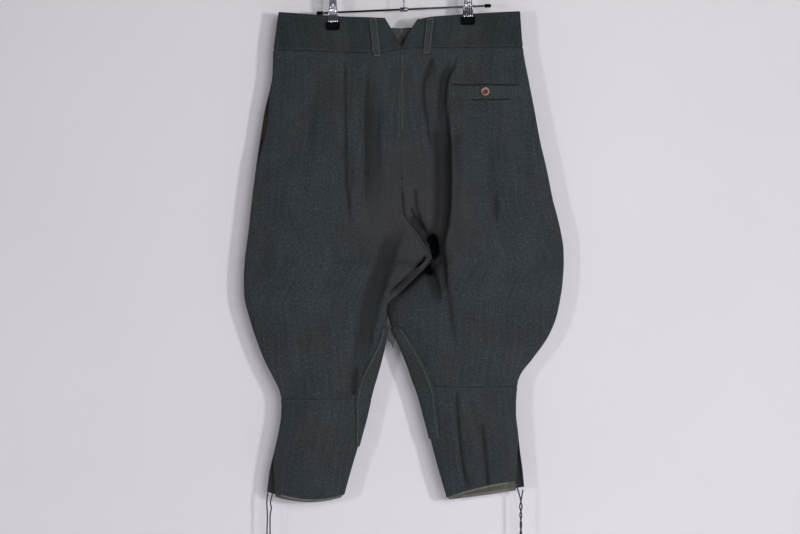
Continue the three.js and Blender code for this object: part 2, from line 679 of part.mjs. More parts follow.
// A dished button, with its back on the cloth and its axis along the way the cloth faces.
function button(name, { face, x, drop, off }) {
  const { radius, rim, height, dish, bevel, foot, segments } = BUTTON;
  const profile = [
    [0, 0],
    [radius - foot, 0],
    [radius, foot],
    [radius - bevel, height - bevel],
    [radius - rim, height],
    [radius - rim - bevel, height - dish],
    [0, height - dish],
  ].map(([r, h]) => new THREE.Vector2(r, h));
  const mesh = add(name, "horn", new THREE.LatheGeometry(profile, segments));
  const seat = onBreeches(face, x, drop, off);
  const facing = onBreeches(face, x, drop, off + 1).sub(seat).normalize();
  mesh.position.copy(seat);
  mesh.quaternion.setFromUnitVectors(new THREE.Vector3(0, 1, 0), facing);
}
for (const [name, place] of Object.entries(BUTTONS)) button(name, place);

// ---- Calf laces -------------------------------------------------------------------------------------------

const LACE = { diameter: 2, sides: 8, step: 7 };

// A round cord along a list of points of x, y and drop.
function lace(name, route) {
  const points = route.map(([x, y, drop]) => new THREE.Vector3(x, y, -drop));
  const path = new THREE.CatmullRomCurve3(points, false, "centripetal");
  const section = new THREE.Shape();
  section.absarc(0, 0, LACE.diameter / 2, 0, 2 * Math.PI);
  const steps = Math.round(path.getLength() / LACE.step);
  const options = { steps, curveSegments: LACE.sides / 2, extrudePath: path };
  add(name, "lace", new THREE.ExtrudeGeometry(section, options));
}

// Two laces hang straight from the corners of the left vent.
const LEFT_LACES = {
  lace_left_front: [
    [-251.6, 1.5, 980.5],
    [-253.4, 1.6, 999],
    [-252.4, 1.8, 1026],
    [-253.2, 2, 1060],
    [-252.6, 2, 1120],
    [-253, 2.2, 1180],
  ],
  lace_left_back: [
    [-242.4, -6, 981.5],
    [-246.4, -5.4, 999],
    [-244.9, -4.8, 1010],
    [-247.2, -4.2, 1030],
    [-246.8, -4, 1110],
    [-247.4, -3.8, 1168],
  ],
};
for (const [name, route] of Object.entries(LEFT_LACES)) lace(name, route);

// The two laces of the right vent come together and twist round each other.
const TWIST = { x: 216.5, y: -3, from: 990, step: 8, pitch: 34, radius: 1.4 };
const TWIST_LOOP = { drop: 1012, height: 9, radius: 1.2 }; // where they stand a little apart
const RIGHT_LACES = {
  lace_right_back: { start: [[207.5, -8, 963], [211, -6, 976]], phase: Math.PI, to: 1176 },
  lace_right_front: { start: [[220.5, 1, 975.5]], phase: 0, to: 1164 },
};
for (const [name, { start, phase, to }] of Object.entries(RIGHT_LACES)) {
  const route = [...start];
  for (let drop = TWIST.from; drop <= to; drop += TWIST.step) {
    const angle = phase + (2 * Math.PI * (drop - TWIST.from)) / TWIST.pitch;
    const radius = TWIST.radius + TWIST_LOOP.radius * bell((drop - TWIST_LOOP.drop) / TWIST_LOOP.height);
    route.push([TWIST.x + radius * Math.cos(angle), TWIST.y + radius * Math.sin(angle), drop]);
  }
  lace(name, route);
}

// ---- Clip hanger ------------------------------------------------------------------------------------------

const BAR = { radius: 1.8, left: [-148.5, 94], right: [148.5, 81] }; // ends as x and drop
const CAP = { radius: 3.4, length: 12, taper: 2.5, tip: 2, end: 0.6 };
const FERRULE = { radius: 4.2, length: 14 };
// The bend turns from one angle to the other past its top, and the wire meets its foot and shoulder straight.
const HOOK = { radius: 1.3, bend: 17, turnFrom: -120, turnTo: 100, turnStep: 20, shoulder: 16, foot: 12 };

const barLeft = new THREE.Vector3(BAR.left[0], 0, -BAR.left[1]);
const barRight = new THREE.Vector3(BAR.right[0], 0, -BAR.right[1]);
const barWay = barRight.clone().sub(barLeft).normalize();
const barMiddle = barLeft.clone().add(barRight).multiplyScalar(0.5);
const onBar = (x) => barLeft.clone().lerp(barRight, (x - barLeft.x) / (barRight.x - barLeft.x));

// A round piece about the bar's line, from a profile of radius against length, centred on a point.
function turned(name, material, centre, way, profile, segments = 16) {
  const geometry = new THREE.LatheGeometry(profile.map(([r, h]) => new THREE.Vector2(r, h)), segments);
  const mesh = add(name, material, geometry);
  mesh.position.copy(centre);
  mesh.quaternion.setFromUnitVectors(new THREE.Vector3(0, 1, 0), way);
}

const ring = (inside, outside, length) => [
  [inside, -length / 2],
  [outside, -length / 2],
  [outside, length / 2],
  [inside, length / 2],
  [inside, -length / 2],
];

const barHalf = barLeft.distanceTo(barRight) / 2;
turned("hanger_bar", "chrome", barMiddle, barWay, [
  [0, -barHalf],
  [BAR.radius, -barHalf],
  [BAR.radius, barHalf],
  [0, barHalf],
]);
const bore = BAR.radius + SEAM;
turned("hanger_ferrule", "chrome", barMiddle, barWay, ring(bore, FERRULE.radius, FERRULE.length));
for (const [name, end, way] of [
  ["hanger_cap_left", barLeft, barWay.clone().negate()],
  ["hanger_cap_right", barRight, barWay],
]) {
  turned(name, "rubber", end.clone().addScaledVector(way, SEAM), way, [
    [0, 0],
    [CAP.radius, 0],
    [CAP.radius, CAP.length - CAP.taper],
    [CAP.tip, CAP.length - CAP.end],
    [0, CAP.length],
  ]);
}

// The hook: a wire that rises from the ferrule and bends over the rail, whose top is the origin.
{
  const bendCentre = new THREE.Vector3(0, 0, HOOK.radius - HOOK.bend);
  const foot = new THREE.Vector3(barMiddle.x, 0, barMiddle.z + FERRULE.radius + SEAM);
  const shoulder = new THREE.Vector3(0, 0, bendCentre.z - HOOK.bend - HOOK.shoulder);
  const route = [foot, new THREE.Vector3(0, 0, foot.z + HOOK.foot), shoulder];
  for (let turn = HOOK.turnFrom; turn <= HOOK.turnTo; turn += HOOK.turnStep) {
    const angle = THREE.MathUtils.degToRad(90 - turn);
    route.push(new THREE.Vector3(HOOK.bend * Math.cos(angle), 0, bendCentre.z + HOOK.bend * Math.sin(angle)));
  }
  const wire = new THREE.CatmullRomCurve3(route, false, "centripetal");
  const section = new THREE.Shape();
  section.absarc(0, 0, HOOK.radius, 0, 2 * Math.PI);
  const options = { steps: 44, curveSegments: 5, extrudePath: wire };
  add("hanger_hook", "chrome", new THREE.ExtrudeGeometry(section, options));
}

// A clip: two bent jaws that clasp the bar between them, a spring on the bar and a rubber boot at each foot.
const BOOT = { width: 25, height: 15, thick: 6 };
const SPRING = { wall: 1.3, length: 12 };
// nip is how far a jaw stands off the bar, which it passes from above to below, and lever is its finger end.
const CLIP = { width: 18, sheet: 1.4, nip: 3.1, below: 2, above: 4, lever: { off: 10, height: 44 } };

// One jaw, from its side: it rises from the boot, nips in round the bar and opens into the finger lever.
function bentJaw(layer, bootTop, barDrop) {
  const half = CLIP.sheet / 2;
  const line = [
    [PINCH.half + SEAM + BOOT.thick / 2, bootTop - SEAM],
    [BAR.radius + CLIP.nip, barDrop + CLIP.below],
    [BAR.radius + CLIP.nip, barDrop - CLIP.above],
    [BAR.radius + CLIP.lever.off, barDrop - CLIP.lever.height],
  ];
  const inside = line.map(([y, drop]) => new THREE.Vector2(y - half, -drop));
  const outside = line.map(([y, drop]) => new THREE.Vector2(y + half, -drop));
  const outline = new THREE.Shape([...inside, ...outside.reverse()]);
  const geometry = new THREE.ExtrudeGeometry(outline, { depth: CLIP.width, bevelEnabled: false });
  geometry.translate(0, 0, -CLIP.width / 2);
  // The outline's x is away from the middle plane, its y is up, and its depth lies along the bar.
  const away = new THREE.Vector3(0, layer, 0);
  const up = new THREE.Vector3(0, 0, 1);
  const along = new THREE.Vector3(layer, 0, 0);
  return geometry.applyMatrix4(new THREE.Matrix4().makeBasis(away, up, along));
}

const CLIPS = [
  { hand: "left", x: CLIP_XS[0], bootTop: 111.5 },
  { hand: "right", x: CLIP_XS[1], bootTop: 101.5 },
];
for (const { hand, x, bootTop } of CLIPS) {
  const barAt = onBar(x);
  for (const [face, layer] of LAYERS) {
    const jaw = add(`clip_${hand}_jaw_${face}`, "chrome", bentJaw(layer, bootTop, -barAt.z));
    jaw.position.x = x;
    const block = new THREE.BoxGeometry(BOOT.width, BOOT.thick, BOOT.height);
    const boot = add(`clip_${hand}_boot_${face}`, "rubber", block);
    const off = SEAM / 2 + PINCH.half + SEAM + BOOT.thick / 2;
    boot.position.set(x, layer * off, -(bootTop + BOOT.height / 2));
  }
  turned(`clip_${hand}_spring`, "chrome", barAt, barWay, ring(bore, bore + SPRING.wall, SPRING.length));
}

export default breeches;
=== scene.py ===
"""Riding breeches of coarse wool, hung by the waistband from a clip hanger.

The cloth is laid out in millimetres, with a drop measured down from the rail, and built in metres.
The seat of the breeches faces -Y, the fly faces +Y, and +X is the wearer's right.
"""

import sys

import logging
import math
from collections.abc import Callable
from dataclasses import dataclass, field
from enum import Enum

import bmesh
import bpy
import numpy as np
from mathutils import Matrix, Vector


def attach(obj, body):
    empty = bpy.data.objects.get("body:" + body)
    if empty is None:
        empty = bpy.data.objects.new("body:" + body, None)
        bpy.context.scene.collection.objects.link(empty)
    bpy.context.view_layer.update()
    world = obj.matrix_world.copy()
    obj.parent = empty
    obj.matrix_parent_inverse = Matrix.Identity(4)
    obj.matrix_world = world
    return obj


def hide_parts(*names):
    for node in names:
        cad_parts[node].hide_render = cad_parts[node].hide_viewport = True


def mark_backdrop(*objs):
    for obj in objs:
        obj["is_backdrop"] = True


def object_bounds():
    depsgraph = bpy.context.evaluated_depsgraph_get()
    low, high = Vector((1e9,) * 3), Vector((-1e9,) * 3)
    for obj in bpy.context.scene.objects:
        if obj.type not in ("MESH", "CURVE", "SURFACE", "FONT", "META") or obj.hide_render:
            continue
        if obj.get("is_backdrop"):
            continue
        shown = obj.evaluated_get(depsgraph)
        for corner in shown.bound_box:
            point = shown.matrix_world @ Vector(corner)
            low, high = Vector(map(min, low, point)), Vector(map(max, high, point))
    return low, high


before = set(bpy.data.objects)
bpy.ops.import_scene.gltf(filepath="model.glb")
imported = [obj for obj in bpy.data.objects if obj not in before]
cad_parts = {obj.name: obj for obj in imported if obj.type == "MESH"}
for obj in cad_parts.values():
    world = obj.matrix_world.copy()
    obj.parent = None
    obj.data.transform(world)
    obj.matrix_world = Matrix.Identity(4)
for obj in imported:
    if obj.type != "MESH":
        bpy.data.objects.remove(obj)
CAD_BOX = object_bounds()

LOG = logging.getLogger("breeches")
BODY = "root"
MM = 0.001
SEAM = 0.3
CLOTH = 2.0
BAND_CLOTH = 3.0
TRIM_CLOTH = 1.6
LINING_CLOTH = 1.0
FORK_DROP = 548.0

Array = np.ndarray
Piece = bpy.types.Object
Socket = bpy.types.NodeSocket
Faces = list[tuple[int, ...]]
Part = tuple[Array, Faces]
Row = tuple[Array, Array]
Point = tuple[float, float, float]


class Layer(Enum):
    """The two layers of the flattened breeches: the seat side and the fly side."""

    BACK = -1
    FRONT = 1

    @property
    def word(self) -> str:
        """The layer's name as the pieces spell it."""
        return self.name.lower()


BACK, FRONT = Layer


# ---- Curves ----


def mix(start: Array | float, end: Array | float, share: Array | float) -> Array | float:
    """The value at a share of the way from start to end."""
    return start + (end - start) * share


def ease(share: Array | float) -> Array | float:
    """A share held between 0 and 1, with a soft start and a soft end."""
    held = np.clip(share, 0.0, 1.0)
    return held * held * (3.0 - 2.0 * held)


def bell(distance: Array | float) -> Array | float:
    """A soft bump that is 1 at no distance."""
    return np.exp(-np.square(distance))


class Table:
    """A short table with named columns, read as smooth curves against its first column."""

    def __init__(self, columns: str, *rows: tuple[float, ...]) -> None:
        """Stores the rows.

        Args:
            columns: the columns' names, the first of which is the key.
            rows: one tuple of numbers for each level, in rising order of the key.
        """
        values = np.array(rows, float).T
        self.key = values[0]
        names = columns.split()[1:]
        self.curves = {name: (line, self._slopes(line)) for name, line in zip(names, values[1:])}

    def _slopes(self, line: Array) -> Array:
        """The curve's slope at each row.

        Args:
            line: one column's numbers.

        Returns:
            The slope across each row's two neighbours.
        """
        before = np.maximum(np.arange(len(line)) - 1, 0)
        after = np.minimum(np.arange(len(line)) + 1, len(line) - 1)
        return (line[after] - line[before]) / (self.key[after] - self.key[before])

    def read(self, column: str, place: Array | float) -> Array:
        """A column's value at places along the key.

        Args:
            column: the column's name.
            place: where to read it, held within the table's ends.

        Returns:
            The values, in the shape of place.
        """
        line, slopes = self.curves[column]
        row = np.clip(np.searchsorted(self.key, place, side="right") - 1, 0, len(line) - 2)
        span = self.key[row + 1] - self.key[row]
        t = np.clip((place - self.key[row]) / span, 0.0, 1.0)
        start = line[row] * (2 * t**3 - 3 * t**2 + 1) + slopes[row] * span * (t**3 - 2 * t**2 + t)
        end = line[row + 1] * (3 * t**2 - 2 * t**3) + slopes[row + 1] * span * (t**3 - t**2)
        return start + end


def parabola(levels: Point, t: Array) -> Array:
    """The curve that passes three levels, at the start, the middle and the end."""
    a, b, c = levels
    return a + t * (4 * b - 3 * a - c) + t * t * (2 * a - 4 * b + 2 * c)


def smooth_line(points: Array, step: float) -> Array:
    """A rounded line through points.

    Args:
        points: the points, one a row.
        step: the distance between two points of the result.

    Returns:
        Points along a Catmull-Rom curve, evenly spaced.
    """
    padded = np.vstack([2 * points[0] - points[1], points, 2 * points[-1] - points[-2]])
    pieces = []
    for a, b, c, d in zip(padded, padded[1:], padded[2:], padded[3:]):
        t = np.linspace(0, 1, 24, endpoint=False)[:, None]
        pieces.append(
            0.5 * (2 * b + (c - a) * t + (2 * a - 5 * b + 4 * c - d) * t**2 + (3 * b - a - 3 * c + d) * t**3)
        )
    dense = np.vstack([*pieces, points[-1:]])
    travelled = np.r_[0, np.cumsum(np.linalg.norm(np.diff(dense, axis=0), axis=1))]
    count = max(2, int(round(travelled[-1] / step)) + 1)
    stops = np.linspace(0, travelled[-1], count)
    return np.stack([np.interp(stops, travelled, column) for column in dense.T], axis=1)


def spaced(length: float, step: float, fine: float = 0.6, zone: float = 7.0) -> Array:
    """Shares from 0 to 1 that stand closer together near both ends, where cloth is sewn or folded.

    Args:
        length: the whole length.
        step: the spacing in the middle.
        fine: the spacing at the ends.
        zone: how far from the ends the spacing grows to the full step.

    Returns:
        The rising shares.
    """
    stops = [0.0]
    while stops[-1] < length:
        nearest = max(0.0, min(stops[-1], length - stops[-1]))
        stops.append(stops[-1] + mix(fine, step, min(1.0, nearest / zone)))
    return np.array(stops) / stops[-1]


class Waviness:
    """Slow uneven waves, the same in every run, that keep large cloth from looking pressed."""

    def __init__(self, seed: int, across: float, down: float, count: int = 9) -> None:
        """Draws the waves.

        Args:
            seed: starts the draw.
            across: the usual wavelength across the cloth.
            down: the usual wavelength down the cloth.
            count: how many waves are summed.
        """
        draw = np.random.default_rng(seed)
        self.across = 2 * math.pi / (across * draw.uniform(0.6, 1.7, count)) * draw.choice([-1, 1], count)
        self.down = 2 * math.pi / (down * draw.uniform(0.6, 1.7, count))
        self.phase = draw.uniform(0, 2 * math.pi, count)

    def at(self, x: Array, drop: Array) -> Array:
        """The waves' height at places on the cloth, mostly between -1 and 1."""
        angle = x[..., None] * self.across + drop[..., None] * self.down + self.phase
        return np.sin(angle).sum(-1) / math.sqrt(len(self.phase))


# ---- The cut of the breeches ----


@dataclass(frozen=True)
class Gape:
    """Where a side seam stands open, in drops. The peak is widest, and an open end runs out of the hem."""

    start: float
    peak: float
    end: float | None
    inset: float
    lift: float

    def at(self, drop: Array) -> Array:
        """How far it stands open at a drop, from 0 to 1."""
        opening = ease((drop - self.start) / (self.peak - self.start))
        closing = ease((self.end - drop) / (self.end - self.peak)) if self.end else 1.0
        return opening * closing


@dataclass(frozen=True)
class Leg:
    """One leg's silhouette.

    outer is the side seam, and inner the centre seam above the fork and the inseam below it. flap draws the
    inner edge across under the seat, and lean is how far it stands off the middle plane there.
    """

    hand: str
    side: int
    knee: float
    hems: dict[Layer, Point]
    gapes: tuple[Gape, ...]
    stations: Table


LEFT = Leg(
    hand="left",
    side=-1,
    knee=807,
    hems={BACK: (977, 991, 983), FRONT: (979, 995, 985)},
    gapes=(Gape(224, 306, 392, inset=9, lift=5), Gape(896, 980, None, inset=13, lift=5)),
    stations=Table(
        "drop outer inner flap lean",
        (88, -231, -4, 0, 0), (163, -241, -4, 0, 0), (218, -244, -4, 0, 0), (274, -257, -4, 0, 0),
        (329, -266, -4, 0, 0), (385, -274, -4, 0, 0), (440, -281, -4, 0, 0), (466, -284, -4, 3, 0),
        (496, -287, -5, 27, -3), (525, -291, -7, 48.5, -8), (548, -294, -10, 61, -12),
        (562, -295, -13, 56, -23), (578, -296, -17, 45, -28), (602, -296, -24, 28, -29),
        (620, -295, -27, 12, -26), (632, -293, -29, 1, -22), (664, -284, -30, 0, -14),
        (698, -273, -34, 0, -5), (734, -259, -42, 0, 0), (770, -241, -52, 0, 0), (790, -231, -58, 0, 0),
        (807, -227, -62, 0, 0), (840, -227, -69, 0, 0), (866, -231, -76, 0, 0), (903, -239, -86, 0, 0),
        (940, -248, -97, 0, 0), (995, -255, -112, 0, 0),
    ),
)

RIGHT = Leg(
    hand="right",
    side=1,
    knee=785,
    hems={BACK: (958, 969, 989), FRONT: (970, 982, 990)},
    gapes=(Gape(862, 975, None, inset=15, lift=6),),
    stations=Table(
        "drop outer inner flap lean",
        (88, 215, -4, 0, 0), (163, 221, -4, 0, 0), (218, 231, -4, 0, 0), (274, 242, -4, 0, 0),
        (329, 252, -4, 0, 0), (385, 265, -4, 0, 0), (440, 276, -4, 0, 0), (466, 283, -4, 3, 0),
        (496, 290, -5, 27, -3), (525, 295, -7, 48.5, -8), (548, 296, -10, 61.6, -12), (562, 296, -14, 50, 3),
        (578, 295, -19, 36, 9), (602, 293, -26, 16, 12), (620, 290, -30, 5, 12), (632, 288, -31, 0, 10),
        (664, 280, -27, 0, 6), (698, 264, -12, 0, 2), (734, 238, 3, 0, 0), (758, 219, 12, 0, 0),
        (773, 212, 17, 0, 0), (785, 210, 22, 0, 0), (810, 208, 30, 0, 0), (840, 208, 38, 0, 0),
        (866, 211, 45, 0, 0), (903, 215, 54, 0, 0), (940, 220, 64, 0, 0), (995, 225, 80, 0, 0),
    ),
)
LEGS = (LEFT, RIGHT)
SIDES = [(leg, layer) for leg in LEGS for layer in Layer]

DEPTHS = Table(
    "drop back front",
    (88, 11, 11), (163, 15, 14), (218, 23, 20), (300, 33, 27), (400, 40, 33), (500, 43, 37), (560, 43, 39),
    (640, 42, 39), (720, 39, 37), (807, 34, 32), (900, 31, 29), (995, 28, 26),
)

BAND_EDGES = {
    BACK: Table(
        "at top bottom",
        (-241, 93, 162), (-130, 101, 166), (-50, 104.5, 168), (-4, 106, 161), (24, 107.5, 159),
        (50, 103, 159), (119, 97.5, 158), (221, 92, 157),
    ),
    FRONT: Table(
        "at top bottom", (-241, 93, 162), (-130, 104, 173), (-4, 123, 190), (119, 102, 169), (221, 92, 157)
    ),
}


class Crease(Enum):
    """The profile of a crease across its line, as the power of its fall: sharp, soft, or flat on top."""

    SHARP = 1
    SOFT = 2
    FLAT = 4


SHARP, SOFT, FLAT = Crease


@dataclass(frozen=True)
class Fold:
    """A trough (depth over 0) or ridge (under 0) in a panel of cloth, along a line of x and drop.

    widths are how far it reaches towards -X and towards +X. It fades over shares of its length at its head
    and its tail. Its line runs downwards. An edge fold moves the cloth's edge with it, and dark is how much
    more painted shade darkens its inside than its depth alone would give it.
    """

    widths: tuple[float, float]
    depth: float
    line: tuple[tuple[float, float], ...]
    crease: Crease = SOFT
    head: float = 0.4
    tail: float = 0.4
    steep: float = 1.5
    edge: bool = False
    dark: float = 1.0

    def offset(self, x: Array, drop: Array) -> Array:
        """How far the cloth is pressed in at places, in millimetres, which is under 0 on a ridge."""
        return self.depth * self._fullness(x, drop)

    def shade(self, x: Array, drop: Array) -> Array:
        """How much painted shade the fold gives the cloth's colour at places, from 0 on a ridge to dark in a
        steep trough.
        """
        closed = min(1.0, max(0.0, self.depth) / (self.steep * min(self.widths)))
        return self._fullness(x, drop) * closed * self.dark

    def _fullness(self, x: Array, drop: Array) -> Array:
        """How much of the fold there is at places.

        Args:
            x: the places across the breeches.
            drop: the places down the breeches.

        Returns:
            The shares, in the shape of x.
        """
        path = smooth_line(np.array(self.line, float), 6.0)
        near, right_of, along = self._nearest(path, np.stack([x, drop], axis=-1).reshape(-1, 2))
        strength = ease(along / self.head) * ease((1 - along) / self.tail)
        far = near / np.where(right_of, self.widths[1], self.widths[0])
        profile = np.exp(-np.minimum(far, 9.0) ** self.crease.value)
        return (strength * profile).reshape(x.shape)

    @staticmethod
    def _nearest(path: Array, places: Array) -> tuple[Array, Array, Array]:
        """Each place's distance from a path, the side it is on, and how far along it is.

        Args:
            path: the points of the path.
            places: the places, one a row.

        Returns:
            The distances, whether each place is on the +X side, and the shares of the path's length.
        """
        best = np.full(len(places), np.inf)
        right_of, along = np.ones(len(places), bool), np.zeros(len(places))
        count = len(path) - 1
        for index, (a, b) in enumerate(zip(path, path[1:])):
            way = b - a
            share = np.clip(((places - a) @ way) / (way @ way), 0, 1)
            gap = places - (a + share[:, None] * way)
            distance = np.hypot(gap[:, 0], gap[:, 1])
            closer = distance < best
            best = np.where(closer, distance, best)
            right_of = np.where(closer, gap[:, 0] * way[1] - gap[:, 1] * way[0] > 0, right_of)
            along = np.where(closer, (index + share) / count, along)
        return best, right_of, along


# The main troughs and ridges, which the solids have too.
FORM_FOLDS = {
    (BACK, "right"): (
        Fold((24, 6), 22, ((78, 250), (77, 300), (79, 334), (80, 400), (80, 440), (77, 483), (71, 514),
             (70, 544), (72, 640)), FLAT, head=0.25, dark=1.12),
        Fold((11, 6), 11, ((98, 165), (94, 181), (87, 198), (78, 215), (75, 240), (74, 270), (76, 310)), FLAT,
             head=0.35),
        Fold((14, 20), -7, ((128, 190), (112, 300), (110, 450), (106, 600))),
        Fold((26, 26), 6, ((172, 265), (176, 420), (182, 560), (176, 670))),
    ),
    (BACK, "left"): (
        Fold((20, 20), 7, ((-60, 215), (-58, 330), (-62, 470))),
        Fold((19, 15), 16, ((-10, 474), (-18, 500), (-24, 522), (-34, 552), (-48, 593), (-60, 640),
             (-72, 690), (-81, 745), (-88, 800)), FLAT, head=0.18),
        Fold((26, 26), 5, ((-132, 330), (-128, 480), (-138, 620))),
    ),
    (FRONT, "left"): (
        Fold((30, 30), 8, ((-88, 240), (-96, 420), (-110, 640))),
    ),
    (FRONT, "right"): (
        Fold((30, 30), 8, ((84, 240), (96, 430), (112, 650))),
    ),
}

# Finer creases of the hanging cloth, listed one by one.
FINE_FOLDS = {
    (BACK, "right"): (
        Fold((4, 3), 4.5, ((58, 172), (49, 190), (42, 208), (37, 224), (37, 255), (40, 276), (44, 294),
             (47, 315), (50, 333), (51, 354)), SHARP, head=0.1, tail=0.2),
        Fold((9, 9), 2.6, ((60, 166), (53, 190), (48, 210), (43, 232)), dark=2.4),
        Fold((14, 12), 5, ((160, 285), (163, 340), (165, 400), (168, 470)), head=0.3, tail=0.3),
        Fold((5, 3), 4, ((168, 425), (172, 455), (171, 490)), SHARP),
        Fold((4, 2.5), 5, ((20, 414), (22, 436), (24, 457), (28, 467), (33, 483), (41, 497)), SHARP,
             head=0.15, tail=0.1, edge=True),
        Fold((2.4, 1.8), 4, ((-6, 412), (-5, 424), (-2, 438), (1, 463), (4, 476)), SHARP, head=0.2, tail=0.2,
             edge=True, dark=1.2),
        Fold((2.2, 2.2), 4, ((13, 453), (15.5, 461), (19, 469), (22, 476)), SHARP, head=0.2, tail=0.3,
             edge=True, dark=1.3),
        Fold((9, 9), 9, ((14, 468), (23, 483), (32, 498), (41, 512), (49, 524)), FLAT, head=0.15, tail=0.15,
             edge=True, dark=1.55),
        Fold((7.5, 7.5), 13, ((47, 486), (50, 500), (54, 512), (56, 524), (57, 535), (55, 548), (51, 560)),
             head=0.6, tail=0.35, edge=True, dark=2.9),
        Fold((5, 6), 8, ((54, 545), (47, 559), (39, 570), (30, 579)), head=0.1, tail=0.5, edge=True,
             dark=2.2),
        Fold((3, 4), 4, ((38, 570), (27, 581), (9, 599), (-5, 609), (-17, 618)), SHARP, head=0.1, tail=0.2,
             edge=True, dark=2.4),
        Fold((14, 5), 9, ((49, 560), (57, 586), (63, 612), (68, 642)), FLAT, head=0.1, tail=0.6),
        Fold((4, 7), 5, ((74, 530), (75, 584), (82, 623), (93, 700), (100, 740)), SHARP, head=0.15),
        Fold((2.5, 5), 7, ((95, 786), (99, 846), (104, 905), (114, 972)), SHARP, head=0.14, tail=0.1,
             dark=0.9),
        Fold((2.5, 5), 7, ((143, 842), (148, 890), (152, 930), (156, 976)), SHARP, head=0.15, tail=0.03,
             dark=0.9),
        Fold((12, 12), -3.2, ((122, 820), (128, 880), (134, 960)), head=0.3, tail=0.05),
        Fold((12, 12), 3.4, ((204, 590), (190, 660), (172, 716), (150, 775))),
        Fold((12, 10), 2.8, ((252, 480), (258, 560), (250, 650))),
        Fold((14, 10), 3, ((214, 250), (222, 330), (232, 430))),
        Fold((9, 9), 2.2, ((22, 180), (27, 240), (24, 330))),
    ),
    (BACK, "left"): (
        Fold((4, 3), 4.5, ((-108, 170), (-108, 250), (-107, 340), (-107, 405), (-102, 443), (-99, 512)),
             SHARP, head=0.1, tail=0.2, dark=0.85),
        Fold((4, 13), 8, ((-68, 176), (-68, 250), (-67, 330), (-69, 430), (-71, 510)), SHARP, head=0.15,
             dark=0.65),
        Fold((7, 7), 3, ((34, 564), (20, 579), (5, 592), (-8, 603), (-19, 613)), FLAT, head=0.1, tail=0.15,
             dark=2.2),
        Fold((3.5, 2.5), 6, ((42, 543), (26, 559), (15, 573), (4, 584), (-10, 598), (-21, 609), (-26, 621)),
             SHARP, head=0.08, tail=0.15, dark=1.4),
        Fold((3, 3.5), 4, ((43, 542), (37, 549), (29, 557), (19, 568)), FLAT, head=0.1, tail=0.5, dark=2.2),
        Fold((2.6, 2.6), -3.4, ((49, 546), (38, 556), (29, 566), (16, 579))),
        Fold((8, 12), -3.5, ((-40, 230), (-38, 330), (-40, 440))),
        Fold((8, 4), 7, ((-84, 735), (-88, 765), (-90, 800)), SHARP, head=0.5, tail=0.02),
        Fold((5, 5), 2.4, ((-150, 850), (-151, 900), (-153, 950)), SHARP, head=0.3, tail=0.3),
        Fold((13, 13), 3.2, ((-214, 560), (-206, 640), (-190, 710), (-168, 780))),
        Fold((12, 12), 2.8, ((-250, 450), (-258, 540), (-250, 640))),
        Fold((9, 9), 3, ((-166, 196), (-174, 280), (-172, 400))),
        Fold((18, 18), 3, ((-128, 520), (-140, 620), (-150, 720))),
    ),
    (FRONT, "left"): (
        Fold((12, 5), 5, ((-56, 196), (-70, 300), (-76, 450)), SHARP),
        Fold((9, 7), 4, ((-10, 400), (-22, 470), (-46, 540), (-66, 600))),
        Fold((14, 14), 4.4, ((-180, 280), (-190, 430), (-198, 580))),
        Fold((12, 12), 3.2, ((-222, 590), (-206, 680), (-180, 760))),
        Fold((8, 5), 3.4, ((-166, 850), (-172, 910), (-177, 968)), SHARP, tail=0.1),
        Fold((10, 10), 3, ((-130, 190), (-136, 260), (-134, 330))),
    ),
    (FRONT, "right"): (
        Fold((5, 12), 5, ((60, 196), (70, 310), (78, 460)), SHARP),
        Fold((7, 9), 4, ((34, 420), (62, 480), (90, 540), (104, 596))),
        Fold((14, 14), 4.4, ((170, 280), (182, 430), (192, 580))),
        Fold((12, 12), 3.2, ((214, 580), (192, 670), (164, 750))),
        Fold((5, 8), 3.4, ((146, 840), (150, 900), (157, 966)), SHARP, tail=0.1),
        Fold((10, 10), 3, ((128, 190), (134, 260), (130, 340))),
    ),
}


@dataclass(frozen=True)
class Pinch:
    """How the clips press the two layers of the waist together."""

    places: tuple[float, ...] = (-131.0, 119.0)
    half: float = 3.35
    flat: float = 18.0
    spread: float = 46.0
    holds_to: float = 128.0
    fades_by: float = 285.0

    def at(self, x: Array, drop: Array) -> Array:
        """How hard the cloth is pressed at places, from 0 to 1."""
        press = 1 - ease((drop - self.holds_to) / (self.fades_by - self.holds_to))
        away = np.min([np.abs(x - place) for place in self.places], axis=0)
        return press * (1 - ease((away - self.flat) / self.spread))


@dataclass(frozen=True)
class SeatFold:
    """The fold under the seat: the left thigh's cloth rises over the seam, the right one's sinks behind."""

    start: float = 450.0
    peak: float = 530.0
    end: float = 610.0
    clear: float = 8.0
    reach: float = 15.0
    width: float = 14.0
    over: float = 4.0
    rise: float = 8.0
    sink: float = 14.0

    def strength(self, from_seam: Array, drop: Array) -> Array:
        """How much of the fold there is at places, from 0 to 1.

        Args:
            from_seam: the distance across from the seam.
            drop: the drop.

        Returns:
            The shares.
        """
        rising = np.where(
            drop < self.peak,
            (drop - self.start) / (self.peak - self.start),
            (self.end - drop) / (self.end - self.peak),
        )
        off_seam = 1 - bell(from_seam / self.clear)
        return ease(rising) * off_seam * bell((np.abs(from_seam) - self.reach) / self.width)


@dataclass(frozen=True)
class Spots:
    """Places on one layer of one leg: shares from its side seam to its inner edge, and as many drops."""

    leg: Leg
    layer: Layer
    across: Array
    drop: Array

    def moved(self, across: float, drop: float) -> "Spots":
        """The places a little further across and down, held within the leg."""
        return Spots(self.leg, self.layer, np.clip(self.across + across, 0, 1), self.drop + drop)

    def pressed(self, folds: dict[tuple[Layer, str], tuple[Fold, ...]]) -> tuple[Fold, ...]:
        """The folds of a set that lie in this panel."""
        return folds[self.layer, self.leg.hand]


